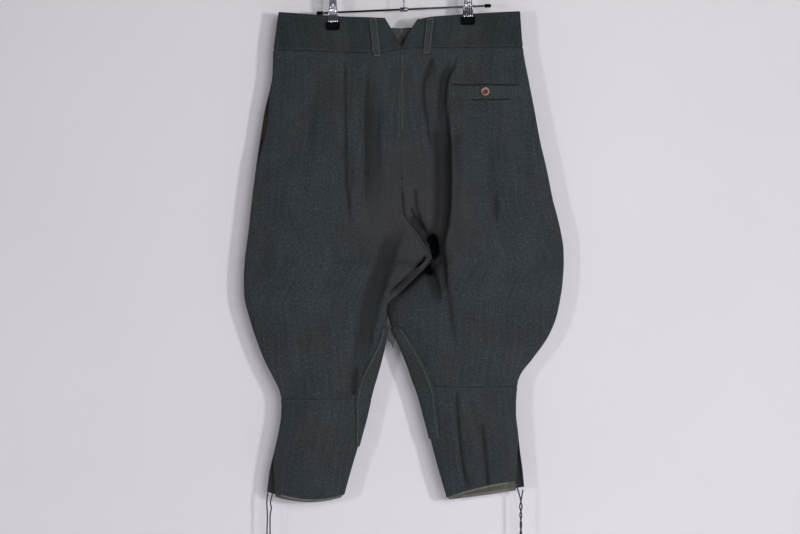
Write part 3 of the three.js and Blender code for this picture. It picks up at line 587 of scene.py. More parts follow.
@dataclass
class Breeches:
    """The shape of the worn cloth: where its outer face is, at a share across a leg and a drop."""

    wrap_from: float = 430.0
    room: float = 9.0
    flap_power: float = 4.0
    lean_power: float = 2.5
    section_power: float = 2.6
    section_close: float = 0.7
    edge_radius: float = 3.3
    gape_power: float = 6.0
    gape_front_share: float = 0.5
    fold_fade: float = 8.0
    crease_fade: float = 14.0
    calm: float = 0.75
    apart: float = 700.0
    drape_height: float = 1.5
    rumple_height: float = 0.3
    flat_to: float = 162.0
    free_by: float = 40.0
    grooves: tuple[float, ...] = (1.0, 0.7, 0.35, 0.3)
    groove_width: float = 1.5
    ridge: float = 0.22
    ridge_at: float = 5.0
    ridge_width: float = 6.0
    pucker_height: float = 0.16
    waist_drop: float = 163.0
    centre: float = -4.0
    pinch: Pinch = field(default_factory=Pinch)
    seat_fold: SeatFold = field(default_factory=SeatFold)
    drape: Waviness = field(default_factory=lambda: Waviness(3, across=95.0, down=240.0))
    rumple: Waviness = field(default_factory=lambda: Waviness(8, across=26.0, down=60.0))
    pucker: Waviness = field(default_factory=lambda: Waviness(5, across=15.0, down=15.0, count=5))

    def form(self, spots: Spots, plain: bool = False) -> Array:
        """The outer face of the hanging cloth, without its finer creases.

        Args:
            spots: the places.
            plain: whether its troughs, ridges and seat fold are left out too.

        Returns:
            The points, with x, y and z in a last axis.
        """
        leg, layer, across, drop = spots.leg, spots.layer, spots.across, spots.drop
        back = layer is BACK
        outer = leg.stations.read("outer", drop)
        lift = np.zeros_like(outer)
        for gape in leg.gapes:
            opening = gape.at(drop)
            if back:
                outer = outer - leg.side * gape.inset * opening
            share = 1.0 if back else self.gape_front_share
            lift = lift + gape.lift * share * opening * (1 - across) ** self.gape_power
        flap = leg.stations.read("flap", drop)
        inner = leg.stations.read("inner", drop) + leg.side * SEAM / 2
        wrap = ease((drop - self.wrap_from) / (FORK_DROP - self.wrap_from))
        x = mix(outer, inner, across) + flap * across**self.flap_power
        closing = self._rounded((1 - across) ** self.section_power)
        closing = closing * self._rounded(wrap * across**self.section_power)
        inner_turn = mix(self.edge_radius, self._turn(np.abs(x - inner - flap)), wrap)
        turn = np.minimum(self._turn(np.abs(x - outer)), inner_turn)
        bulge = turn + (DEPTHS.read(layer.word, drop) - self.edge_radius) * closing
        depth = mix(bulge, np.minimum(bulge, self.pinch.half), self.pinch.at(x, drop))
        y = leg.stations.read("lean", drop) * across**self.lean_power
        y = y + layer.value * (SEAM / 2 + depth + lift)
        if plain:
            return np.stack([x, y, -drop], axis=-1)
        middle = 1 - np.abs(2 * across - 1) ** self.fold_fade
        for fold in spots.pressed(FORM_FOLDS):
            y = y - layer.value * fold.offset(x, drop) * middle
        if back:
            strength = self.seat_fold.strength(x - inner - flap, drop)
            if leg.side < 0:
                x = x + self.seat_fold.over * strength
                y = y - self.seat_fold.rise * strength
            else:
                y = y + self.seat_fold.sink * strength
        return np.stack([x, y, -drop], axis=-1)

    def _rounded(self, near: Array) -> Array:
        """How fully a section has opened out from its edge."""
        return np.maximum(0.0, 1 - near) ** self.section_close

    def _turn(self, far: Array) -> Array:
        """The quarter circle in which the cloth turns at an edge, against the distance from it."""
        left = self.edge_radius - np.minimum(far, self.edge_radius)
        return np.sqrt(np.maximum(0.0, self.edge_radius**2 - left**2))

    def way_out(self, spots: Spots) -> Array:
        """The outward direction of the cloth, turned square to the seams at its edges.

        Args:
            spots: the places.

        Returns:
            Unit vectors in a last axis.
        """
        step, fall = 1e-3, 0.5
        over = self.form(spots.moved(step, 0)) - self.form(spots.moved(-step, 0))
        down = self.form(spots.moved(0, fall)) - self.form(spots.moved(0, -fall))
        way = np.cross(over, down) * (-spots.leg.side * spots.layer.value)
        at_inner, below = spots.across >= 1, spots.drop > FORK_DROP
        way[..., 1] = np.where((spots.across <= 0) | (at_inner & below), 0.0, way[..., 1])
        way[..., 0] = np.where(at_inner & (spots.drop < FORK_DROP), 0.0, way[..., 0])
        return way / np.maximum(np.linalg.norm(way, axis=-1, keepdims=True), 1e-9)

    def creased(self, spots: Spots, out: float | Array = 0.0) -> Array:
        """Points of the finished cloth, with its creases, waviness and sunk seams.

        Args:
            spots: the places.
            out: how far the points stand out of the cloth.

        Returns:
            The points, in millimetres.
        """
        layer, across, drop = spots.layer, spots.across, spots.drop
        base = self.form(spots)
        x = base[..., 0].copy()
        middle = 1 - np.abs(2 * across - 1) ** self.crease_fade
        loose = 1 - self.calm * self.pinch.at(x, drop)
        sunk = np.zeros_like(x)
        for fold in spots.pressed(FINE_FOLDS):
            if fold.edge:
                base[..., 1] -= layer.value * fold.offset(x, drop)
            else:
                sunk = sunk + fold.offset(x, drop)
        if layer is BACK:
            unfolded = self.form(spots, plain=True)[..., 1]
            behind = self.form(Spots(spots.leg, FRONT, across, drop))[..., 1] - self.room
            base[..., 1] = np.minimum(base[..., 1], np.maximum(unfolded, behind))
        aside = x + layer.value * self.apart
        swell = self.drape_height * self.drape.at(aside, drop)
        swell = swell + self.rumple_height * self.rumple.at(aside, drop)
        free = ease((drop - self.flat_to) / self.free_by)
        height = (swell - sunk) * middle * loose * free - self._seam_depth(spots, x)
        return base + self.way_out(spots) * (height + out)[..., None]

    def painted_fold_shade(self, spots: Spots) -> Array:
        """The painted shade of the folds: how deep in a fold the cloth lies, from 0 on its open parts to 2.
        """
        x = self.form(spots)[..., 0]
        closed = np.zeros_like(x)
        for fold in (*spots.pressed(FORM_FOLDS), *spots.pressed(FINE_FOLDS)):
            closed = closed + fold.shade(x, spots.drop)
        return np.clip(closed, 0, 2)

    def _seam_depth(self, spots: Spots, x: Array) -> Array:
        """How far the cloth sinks into its seams, with the pucker beside them.

        Args:
            spots: the places.
            x: where they are across the breeches.

        Returns:
            The depths in millimetres.
        """
        leg, drop = spots.leg, spots.drop
        waist = BAND_EDGES[spots.layer].read("bottom", x)
        width = np.abs(leg.stations.read("inner", drop) - leg.stations.read("outer", drop))
        centre = np.where(drop < FORK_DROP, (1 - spots.across) * width, np.inf)
        inseam = np.where(drop < FORK_DROP, np.inf, (1 - spots.across) * width)
        depth = np.zeros_like(x)
        for away, groove in zip((drop - waist, drop - leg.knee, centre, inseam), self.grooves):
            beside = bell((np.abs(away) - self.ridge_at) / self.ridge_width)
            depth = depth + groove * bell(away / self.groove_width) - self.ridge * groove * beside
            depth = depth + self.pucker_height * groove * beside * self.pucker.at(x, drop)
        return depth

    def line(self, spots: Spots, out: float | Array = 0.0) -> Row:
        """Points on or off the finished cloth, and their ways out."""
        return self.creased(spots, out), self.way_out(spots)

    def find(self, leg: Leg, layer: Layer, x: Array, drop: Array) -> Spots:
        """The places where one layer of a leg passes an x.

        Args:
            leg: the leg.
            layer: its seat side or its fly side.
            x: places across the breeches.
            drop: drops, in the same shape as x.

        Returns:
            The places, held within the leg.
        """
        low, high = np.zeros_like(x), np.ones_like(x)
        for _ in range(16):
            tried = (low + high) / 2
            inside = (self.form(Spots(leg, layer, tried, drop))[..., 0] - x) * leg.side > 0
            low, high = np.where(inside, tried, low), np.where(inside, high, tried)
        return Spots(leg, layer, (low + high) / 2, drop)

    def under(self, layer: Layer, x: Array, drop: Array) -> Spots:
        """The places at an x and a drop, on the leg that most of them are on."""
        return self.find(LEFT if np.mean(x) < self.centre else RIGHT, layer, x, drop)


SHAPE = Breeches()


# ---- Making meshes ----


def deselect_all() -> None:
    """Leaves object mode with nothing selected."""
    if bpy.context.object and bpy.context.object.mode != "OBJECT":
        bpy.ops.object.mode_set(mode="OBJECT")
    bpy.ops.object.select_all(action="DESELECT")


def mesh_piece(name: str, points: Array, faces: Faces | Array) -> Piece:
    """A smooth-shaded mesh object at the origin.

    Args:
        name: the piece's name.
        points: its points in millimetres, one a row.
        faces: the indices of each face's corners.

    Returns:
        The new object.
    """
    mesh = bpy.data.meshes.new(name)
    mesh.from_pydata((np.asarray(points) * MM).tolist(), [], [tuple(map(int, face)) for face in faces])
    mesh.polygons.foreach_set("use_smooth", [True] * len(mesh.polygons))
    mesh.update()
    piece = bpy.data.objects.new(name, mesh)
    bpy.context.scene.collection.objects.link(piece)
    return piece


def lay_map(piece: Piece, flat: Array) -> None:
    """Gives a piece its weave map.

    Args:
        piece: the piece.
        flat: where each of its points lies along the threads, in millimetres.
    """
    corners = np.zeros(len(piece.data.loops), int)
    piece.data.loops.foreach_get("vertex_index", corners)
    piece.data.uv_layers.new(name="weave").data.foreach_set("uv", (flat * MM)[corners].ravel())


def joined(name: str, parts: list[Part]) -> tuple[Piece, Array]:
    """Several small meshes as one piece.

    Args:
        name: the piece's name.
        parts: the points and the faces of each mesh.

    Returns:
        The new piece and all its points.
    """
    points, faces, count = [], [], 0
    for spots, corners in parts:
        points.append(spots)
        faces += [tuple(corner + count for corner in face) for face in corners]
        count += len(spots)
    points = np.vstack(points)
    return mesh_piece(name, points, faces), points


def grid_ways(points: Array) -> Array:
    """The unit normals of a grid of points, along the cross of its columns and its rows."""
    down = np.gradient(points, axis=0)
    over = np.gradient(points, axis=1)
    ways = np.cross(over, down)
    return ways / np.maximum(np.linalg.norm(ways, axis=-1, keepdims=True), 1e-9)


SEWN = (0.0, 0.0, 0.0, 0.0)


@dataclass
class Wall:
    """A wall of cloth on a grid of outer points, with rounded rims where an edge is folded or cut free.

    rims gives how round the top, bottom, first and last edges are, from 0 at a sewn edge to 1 at a free one.
    """

    name: str
    outer: Array
    thick: float
    rims: tuple[float, ...] = SEWN
    turns: int = 3
    ways: Array | None = None
    painted_fold_shade: Array | None = None

    def build(self) -> Piece:
        """Builds the wall as one closed mesh with its weave laid out in metres.

        Returns:
            The new object.
        """
        rows, columns = self.outer.shape[:2]
        ways = grid_ways(self.outer) if self.ways is None else self.ways
        front = np.arange(rows * columns).reshape(rows, columns)
        inner = self.outer - ways * self.thick
        points = [self.outer.reshape(-1, 3), inner.reshape(-1, 3)]
        back = front + rows * columns
        faces = self._sheet(front, False) + self._sheet(back, True)
        loop = np.r_[front[0], front[1:, -1], front[-1, -2::-1], front[-2:0:-1, 0]]
        away = self._away()
        before, count = loop, 2 * rows * columns
        for turn in range(1, self.turns + 1):
            angle = math.pi * turn / (self.turns + 1)
            depth = self.thick * (1 - math.cos(angle)) / 2
            ring = self.outer - ways * depth + away * (self.thick / 2 * math.sin(angle))
            points.append(ring.reshape(-1, 3)[loop])
            here = np.arange(count, count + len(loop))
            faces += self._band(before, here)
            before, count = here, count + len(loop)
        faces += self._band(before, loop + rows * columns)
        points = np.vstack(points)
        if self._volume(points, faces) < 0:
            faces = [face[::-1] for face in faces]
        piece = mesh_piece(self.name, points, faces)
        self._lay_weave(piece, loop)
        return piece

    @staticmethod
    def _sheet(index: Array, flipped: bool) -> Faces:
        """The faces of a grid of corners."""
        a, b, c, d = index[:-1, :-1], index[:-1, 1:], index[1:, 1:], index[1:, :-1]
        corners = (a, d, c, b) if flipped else (a, b, c, d)
        return [tuple(face) for face in np.stack([corner.ravel() for corner in corners], axis=1).tolist()]

    @staticmethod
    def _band(first: Array, second: Array) -> Faces:
        """The faces between two closed loops of the same length."""
        faces = np.stack([np.roll(first, -1), first, second, np.roll(second, -1)], axis=1)
        return [tuple(face) for face in faces.tolist()]

    @staticmethod
    def _volume(points: Array, faces: Faces) -> float:
        """Six times the volume inside the faces, under 0 where they point inwards."""
        corners = points[np.array(faces)]
        a, b, c, d = (corners[:, k] for k in range(4))
        first = np.einsum("ij,ij->i", a, np.cross(b, c)).sum()
        return first + np.einsum("ij,ij->i", a, np.cross(c, d)).sum()

    def _away(self) -> Array:
        """At each edge, the direction that leads off the cloth, as long as that rim is round."""
        away = np.zeros_like(self.outer)
        top, bottom, start, end = self.rims
        for (row, inside), amount in (((0, 1), top), ((-1, -2), bottom)):
            way = self.outer[row] - self.outer[inside]
            away[row] += amount * way / np.linalg.norm(way, axis=-1, keepdims=True)
        for (column, inside), amount in (((0, 1), start), ((-1, -2), end)):
            way = self.outer[:, column] - self.outer[:, inside]
            away[:, column] += amount * way / np.linalg.norm(way, axis=-1, keepdims=True)
        return away

    def _lay_weave(self, piece: Piece, loop: Array) -> None:
        """Gives the cloth a UV map in metres along its threads.

        Args:
            piece: the built wall.
            loop: the indices of the outer grid's edge, which the rims follow.
        """
        across = np.linalg.norm(np.diff(self.outer, axis=1), axis=-1)
        down = np.linalg.norm(np.diff(self.outer, axis=0), axis=-1)
        u = np.pad(np.cumsum(across, axis=1), ((0, 0), (1, 0)))
        u = u - u[:, -1:] / 2
        v = -np.pad(np.cumsum(down, axis=0), ((1, 0), (0, 0))).mean(axis=1, keepdims=True) * np.ones_like(u)
        flat = np.stack([u, v], axis=-1).reshape(-1, 2)
        lay_map(piece, np.vstack([flat, flat, *[flat[loop]] * self.turns]))
        # Painted shade: the folds' shade goes on as a point attribute, which darkens the wool's colour.
        if self.painted_fold_shade is not None:
            depth = self.painted_fold_shade.ravel()
            attribute = piece.data.attributes.new("painted_fold_shade", "FLOAT", "POINT")
            attribute.data.foreach_set("value", np.concatenate([depth, depth, *[depth[loop]] * self.turns]))


def tube(name: str, path: Array, radius: float, sides: int = 10, tips: float = 1.0) -> Piece:
    """A round cord along a path, with closed tips and a UV map that runs round and along it in metres.

    Args:
        name: the piece's name.
        path: the points of its centreline, in millimetres.
        radius: its radius.
        sides: how many sides it has.
        tips: the share of the radius left at both tips.

    Returns:
        The new object.
    """
    ways = np.gradient(path, axis=0)
    ways /= np.linalg.norm(ways, axis=1, keepdims=True)
    normal = np.cross(ways[0], [0.0, 1.0, 0.0])
    if np.linalg.norm(normal) < 0.1:
        normal = np.cross(ways[0], [1.0, 0.0, 0.0])
    travelled = np.r_[0, np.cumsum(np.linalg.norm(np.diff(path, axis=0), axis=1))]
    angles = 2 * math.pi * np.arange(sides) / sides
    points, flat = [], []
    for index, (centre, way) in enumerate(zip(path, ways)):
        normal = normal - way * (normal @ way)
        normal /= np.linalg.norm(normal)
        other = np.cross(way, normal)
        full = tips if index in (0, len(path) - 1) else 1.0
        round_it = np.outer(np.cos(angles), normal) + np.outer(np.sin(angles), other)
        points.append(centre + full * radius * round_it)
        flat.append(np.stack([angles * radius, np.full(sides, travelled[index])], axis=1))
    index = np.arange(len(path) * sides).reshape(len(path), sides)
    over = np.roll(index, -1, axis=1)
    faces = np.stack([index[:-1], over[:-1], over[1:], index[1:]], axis=-1).reshape(-1, 4).tolist()
    faces += [index[0, ::-1].tolist(), index[-1].tolist()]
    piece = mesh_piece(name, np.vstack(points), faces)
    lay_map(piece, np.vstack(flat))
    return piece


def dressed(piece: Piece, finish: "Finish", *nodes: str) -> None:
    """Gives a piece its material and lets it ride, in place of the nodes that it stands for.

    Args:
        piece: the piece.
        finish: its finish.
        nodes: the names of the nodes that it replaces.
    """
    piece.data.materials.clear()
    piece.data.materials.append(finish.material())
    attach(piece, BODY)
    if nodes:
        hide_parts(*nodes)
    LOG.info("%s: %d faces", piece.name, len(piece.data.polygons))


def cloth(
    name: str, spots: Spots, finish: "Finish", thick: float, rims: tuple[float, ...] = SEWN, out: float = 0.0,
    stands_in: bool = True, shaded: bool = False,
) -> None:
    """Builds a piece of cloth that follows the breeches.

    Args:
        name: the piece's name after cloth_, which is also the name of the node that it replaces.
        spots: the places that it covers.
        finish: its finish.
        thick: its wall.
        rims: how round its edges are; see Wall.
        out: how far its outer face stands out of the breeches' own.
        stands_in: whether there is such a node.
        shaded: whether painted shade darkens the insides of its folds.
    """
    outer, ways = SHAPE.line(spots, out)
    painted_fold_shade = SHAPE.painted_fold_shade(spots) if shaded else None
    piece = Wall(f"cloth_{name}", outer, thick, rims, ways=ways, painted_fold_shade=painted_fold_shade).build()
    dressed(piece, finish, *([name] if stands_in else []))


# ---- Finishes ----


def tone(red: int, green: int, blue: int) -> tuple[float, float, float, float]:
    """A colour as seen, from 0 to 255 a channel, as the linear colour that a shader takes."""
    shares = (red / 255, green / 255, blue / 255)
    return (*(v / 12.92 if v <= 0.04045 else ((v + 0.055) / 1.055) ** 2.4 for v in shares), 1.0)


class Graph:
    """A node tree, and short ways to fill it."""

    def __init__(self, tree: bpy.types.NodeTree) -> None:
        """Takes the tree to fill."""
        self.tree = tree

    def add(self, kind: str, settings: dict | None = None, **inputs: object) -> bpy.types.Node:
        """Adds a node.

        Args:
            kind: the node's type, without ShaderNode before it.
            settings: its own properties.
            inputs: a value, or the socket that feeds it, for each input, with _ for a space in its name.

        Returns:
            The new node.
        """
        node = self.tree.nodes.new(f"ShaderNode{kind}")
        for name, value in (settings or {}).items():
            setattr(node, name, value)
        for name, value in inputs.items():
            numbered = name[0] == "i" and name[1:].isdigit()
            socket = node.inputs[int(name[1:])] if numbered else self._find(node, name)
            if isinstance(value, Socket):
                self.tree.links.new(value, socket)
            else:
                socket.default_value = value
        return node

    @staticmethod
    def _find(node: bpy.types.Node, name: str) -> Socket:
        """The enabled input of a node with this name."""
        wanted = name.replace("_", " ")
        return next(socket for socket in node.inputs if socket.name == wanted and socket.enabled)

    def math(self, operation: str, *values: object) -> Socket:
        """The result of a sum on one, two or three values."""
        inputs = {f"i{index}": value for index, value in enumerate(values)}
        return self.add("Math", {"operation": operation}, **inputs).outputs[0]

    def times(self, first: object, second: object) -> Socket:
        """The product of two values."""
        return self.math("MULTIPLY", first, second)

    def plus(self, first: object, second: object) -> Socket:
        """The sum of two values."""
        return self.math("ADD", first, second)

    def blend(self, share: object, start: object, end: object, how: str = "MIX") -> Socket:
        """A mix of two colours."""
        node = self.add("Mix", {"data_type": "RGBA", "blend_type": how})
        for index, value in ((0, share), (6, start), (7, end)):
            if isinstance(value, Socket):
                self.tree.links.new(value, node.inputs[index])
            else:
                node.inputs[index].default_value = value
        return node.outputs[2]

    def between(self, value: Socket, low: float, high: float, start: float = 0.0, end: float = 1.0) -> Socket:
        """A value's place between two others, softly held, as a number between two more."""
        span = {"From_Min": low, "From_Max": high, "To_Min": start, "To_Max": end}
        return self.add("MapRange", {"interpolation_type": "SMOOTHSTEP"}, Value=value, **span).outputs[0]

    def noise(self, vector: Socket, scale: float, detail: float = 2.0, rough: float = 0.5) -> Socket:
        """A noise between 0 and 1 at this scale."""
        return self.add("TexNoise", Vector=vector, Scale=scale, Detail=detail, Roughness=rough).outputs[0]

    def grain(self, vector: Socket, *scales: float, detail: float = 2, rough: float = 0.5) -> Socket:
        """A noise between 0 and 1 with a scale of its own along each axis."""
        return self.noise(self.stretched(vector, *scales), 1.0, detail, rough)

    def stretched(self, vector: Socket, x: float, y: float, z: float = 1.0) -> Socket:
        """A vector with each of its parts scaled."""
        return self.add("VectorMath", {"operation": "MULTIPLY"}, i0=vector, i1=(x, y, z)).outputs[0]


class Effect:
    """A shader node group that is built once and placed in every material that uses it."""

    name = ""
    inputs: dict[str, tuple[str, object]] = {}
    outputs: dict[str, str] = {}

    def tree(self) -> bpy.types.NodeTree:
        """The group's tree, built at its first use."""
        known = bpy.data.node_groups.get(self.name)
        if known:
            return known
        tree = bpy.data.node_groups.new(self.name, "ShaderNodeTree")
        for name, (kind, value) in self.inputs.items():
            socket = tree.interface.new_socket(name=name, in_out="INPUT", socket_type=f"NodeSocket{kind}")
            if value is not None:
                socket.default_value = value
        for name, kind in self.outputs.items():
            tree.interface.new_socket(name=name, in_out="OUTPUT", socket_type=f"NodeSocket{kind}")
        start, end = tree.nodes.new("NodeGroupInput"), tree.nodes.new("NodeGroupOutput")
        for name, socket in self.fill(Graph(tree), start.outputs).items():
            tree.links.new(socket, end.inputs[name])
        return tree

    def fill(self, graph: Graph, given: object) -> dict[str, object]:
        """Fills the group."""
        raise NotImplementedError

    def place(self, graph: Graph, **inputs: object) -> bpy.types.NodeOutputs:
        """Places the group in a material and returns its outputs."""
        return graph.add("Group", {"node_tree": self.tree()}, **inputs).outputs


class HeatheredYarn(Effect):
    """Coarse twilled wool: mixed fibres, slubs, streaks down the cloth and a raised diagonal rib."""

    name = "Heathered yarn"
    inputs = {
        "Weave": ("Vector", None),
        "Ground": ("Color", (0.1, 0.1, 0.1, 1)),
        "Light fibre": ("Color", (0.2, 0.2, 0.2, 1)),
        "Dark fibre": ("Color", (0.02, 0.02, 0.02, 1)),
        "Warm fibre": ("Color", (0.04, 0.03, 0.03, 1)),
        "Cool fibre": ("Color", (0.03, 0.05, 0.06, 1)),
        "Flecks": ("Float", 0.5),
        "Rib": ("Float", 0.5),
    }
    outputs = {"Color": "Color", "Roughness": "Float", "Height": "Float"}

    def fill(self, graph: Graph, given: object) -> dict[str, object]:
        """Builds the yarn from noises laid along its threads; see Effect.fill."""
        threads = graph.stretched(given["Weave"], 1000, 1000)
        fibre = graph.noise(threads, 1.5, 4, 0.75)
        heather = graph.grain(threads, 0.34, 0.25, detail=3, rough=0.62)
        tuft = graph.grain(threads, 0.11, 0.09, detail=3, rough=0.6)
        streak = graph.grain(threads, 0.16, 0.006, rough=0.6)
        slub = graph.grain(threads, 0.03, 0.42)
        mottle = graph.noise(threads, 0.014, 3, 0.55)
        light = graph.times(graph.between(heather, 0.5, 0.72), given["Flecks"])
        dark = graph.times(graph.between(heather, 0.46, 0.3), given["Flecks"])
        rust = graph.grain(threads, 0.009, 0.006, detail=3, rough=0.55)
        slate = graph.grain(threads, 0.03, 0.014, detail=4, rough=0.6)
        warm = graph.between(rust, 0.44, 0.68, 0.0, 0.6)
        cool = graph.between(slate, 0.45, 0.7, 0.0, 0.6)
        shade = graph.blend(warm, given["Ground"], given["Warm fibre"])
        shade = graph.blend(cool, shade, given["Cool fibre"])
        shade = graph.blend(light, shade, given["Light fibre"])
        shade = graph.blend(dark, shade, given["Dark fibre"])
        lint = graph.times(graph.between(tuft, 0.6, 0.76), graph.between(fibre, 0.4, 0.7))
        shade = graph.blend(graph.times(lint, 0.55), shade, given["Light fibre"])
        shade = graph.blend(graph.between(slub, 0.62, 0.74, 0.0, 0.4), shade, given["Light fibre"])
        wash = graph.between(streak, 0.3, 0.7, 0.88, 1.1)
        wash = graph.plus(wash, graph.between(mottle, 0.3, 0.7, -0.09, 0.09))
        wash = graph.times(wash, graph.between(fibre, 0.3, 0.7, 0.84, 1.14))
        grey = graph.add("CombineColor", Red=wash, Green=wash, Blue=wash).outputs[0]
        shade = graph.blend(1.0, shade, grey, "MULTIPLY")
        parts = graph.add("SeparateXYZ", Vector=threads)
        slant = graph.plus(parts.outputs[0], graph.times(parts.outputs[1], 0.62))
        slant = graph.plus(slant, graph.times(fibre, 0.5))
        rib = graph.math("SINE", graph.times(slant, 2 * math.pi / 1.7))
        height = graph.times(graph.times(rib, 0.22), given["Rib"])
        height = graph.plus(height, graph.times(fibre, 0.9))
        height = graph.plus(height, graph.times(heather, 0.7))
        height = graph.plus(height, graph.between(slub, 0.6, 0.75, 0.0, 0.5))
        return {"Color": shade, "Roughness": graph.between(fibre, 0.3, 0.7, 0.82, 0.97), "Height": height}


class PlainWeave(Effect):
    """A flat cotton cloth: threads over and under each other, a little uneven and a little soiled."""

    name = "Plain weave"
    inputs = {
        "Weave": ("Vector", None),
        "Ground": ("Color", (0.3, 0.3, 0.3, 1)),
        "Soil": ("Color", (0.1, 0.1, 0.1, 1)),
        "Pitch": ("Float", 0.7),
    }
    outputs = {"Color": "Color", "Height": "Float"}

    def fill(self, graph: Graph, given: object) -> dict[str, object]:
        """Builds the weave from two crossing waves; see Effect.fill."""
        threads = graph.stretched(given["Weave"], 1000, 1000)
        parts = graph.add("SeparateXYZ", Vector=threads)
        turn = graph.math("DIVIDE", math.pi, given["Pitch"])
        warp = graph.math("SINE", graph.times(parts.outputs[0], turn))
        weft = graph.math("SINE", graph.times(parts.outputs[1], turn))
        crossing = graph.times(warp, weft)
        blot = graph.noise(threads, 0.035, 4, 0.6)
        uneven = graph.grain(threads, 0.9, 0.12)
        shade = graph.blend(graph.between(blot, 0.42, 0.75, 0.0, 0.6), given["Ground"], given["Soil"])
        shade = graph.blend(graph.between(uneven, 0.35, 0.7, 0.0, 0.35), shade, given["Soil"])
        shade = graph.blend(graph.between(crossing, -0.8, 0.3, 0.3, 0.0), shade, given["Soil"])
        return {"Color": shade, "Height": graph.plus(crossing, uneven)}


class Handling(Effect):
    """The marks of use on a hard surface: fine scratches, smears and dust in one roughness and one height."""

    name = "Handling"
    inputs = {
        "Place": ("Vector", None),
        "Clean": ("Float", 0.1),
        "Worn": ("Float", 0.4),
        "Size": ("Float", 1.0),
    }
    outputs = {"Wear": "Float", "Roughness": "Float", "Height": "Float"}

    def fill(self, graph: Graph, given: object) -> dict[str, object]:
        """Builds the marks from stretched and broken noises; see Effect.fill."""
        sized = graph.add("VectorMath", {"operation": "SCALE"}, i0=given["Place"], Scale=given["Size"])
        place = sized.outputs[0]
        smear = graph.noise(place, 60, 4, 0.6)
        grain = graph.noise(place, 900, 3, 0.6)
        scratch = graph.grain(place, 2600, 240, 240)
        wear = graph.between(smear, 0.42, 0.68)
        wear = graph.plus(wear, graph.between(scratch, 0.66, 0.74, 0.0, 0.5))
        rough = graph.add("MapRange", Value=wear, From_Min=0.0, From_Max=1.5, To_Min=given["Clean"],
                          To_Max=given["Worn"]).outputs[0]
        height = graph.plus(grain, graph.between(scratch, 0.66, 0.74, 0.0, -1.0))
        return {"Wear": graph.math("MINIMUM", wear, 1.0), "Roughness": rough, "Height": height}


class Streaks(Effect):
    """The grain of horn or bone: soft bands across a piece, broken by darker flecks."""

    name = "Streaks"
    inputs = {
        "Place": ("Vector", None),
        "Ground": ("Color", (0.3, 0.15, 0.08, 1)),
        "Pale": ("Color", (0.6, 0.4, 0.25, 1)),
        "Deep": ("Color", (0.05, 0.02, 0.01, 1)),
    }
    outputs = {"Color": "Color", "Height": "Float"}

    def fill(self, graph: Graph, given: object) -> dict[str, object]:
        """Builds the grain from stretched noises; see Effect.fill."""
        bands = graph.grain(given["Place"], 520, 520, 140, detail=3, rough=0.6)
        flecks = graph.grain(given["Place"], 1900, 1900, 500, detail=3, rough=0.7)
        shade = graph.blend(graph.between(bands, 0.4, 0.66), given["Ground"], given["Pale"])
        shade = graph.blend(graph.between(flecks, 0.55, 0.75, 0.0, 0.8), shade, given["Deep"])
        return {"Color": shade, "Height": flecks}


Bump = tuple[Socket, float, float]


@dataclass(frozen=True)
class Finish:
    """What a piece is finished in, and the record's slot that it stands for."""

    name: str
    slot: str

    def material(self) -> bpy.types.Material:
        """The finish's material, built at its first use."""
        known = bpy.data.materials.get(self.name)
        if known:
            return known
        material = bpy.data.materials.new(self.name)
        material.use_nodes = True
        tree = material.node_tree
        tree.nodes.clear()
        graph = Graph(tree)
        surface = self.dress(graph)
        end = graph.add("OutputMaterial")
        tree.links.new(surface, end.inputs["Surface"])
        return material

    def dress(self, graph: Graph) -> Socket:
        """Fills the material's nodes and returns the shader that comes out."""
        raise NotImplementedError

    @staticmethod
    def weave(graph: Graph) -> Socket:
        """The piece's own weave map."""
        return graph.add("UVMap", {"uv_map": "weave"}).outputs[0]

    @staticmethod
    def surface(graph: Graph, shade: Socket, rough: Socket | float, bump: Bump, **more: object) -> Socket:
        """A principled shader.

        Args:
            graph: the material's graph.
            shade: its colour.
            rough: its roughness.
            bump: the height of its relief, the distance that this stands for, and its strength.
            more: its other inputs.

        Returns:
            The shader that comes out.
        """
        normal = graph.add("Bump", Height=bump[0], Distance=bump[1], Strength=bump[2]).outputs[0]
        node = graph.add("BsdfPrincipled", Base_Color=shade, Roughness=rough, Normal=normal, **more)
        return node.outputs[0]


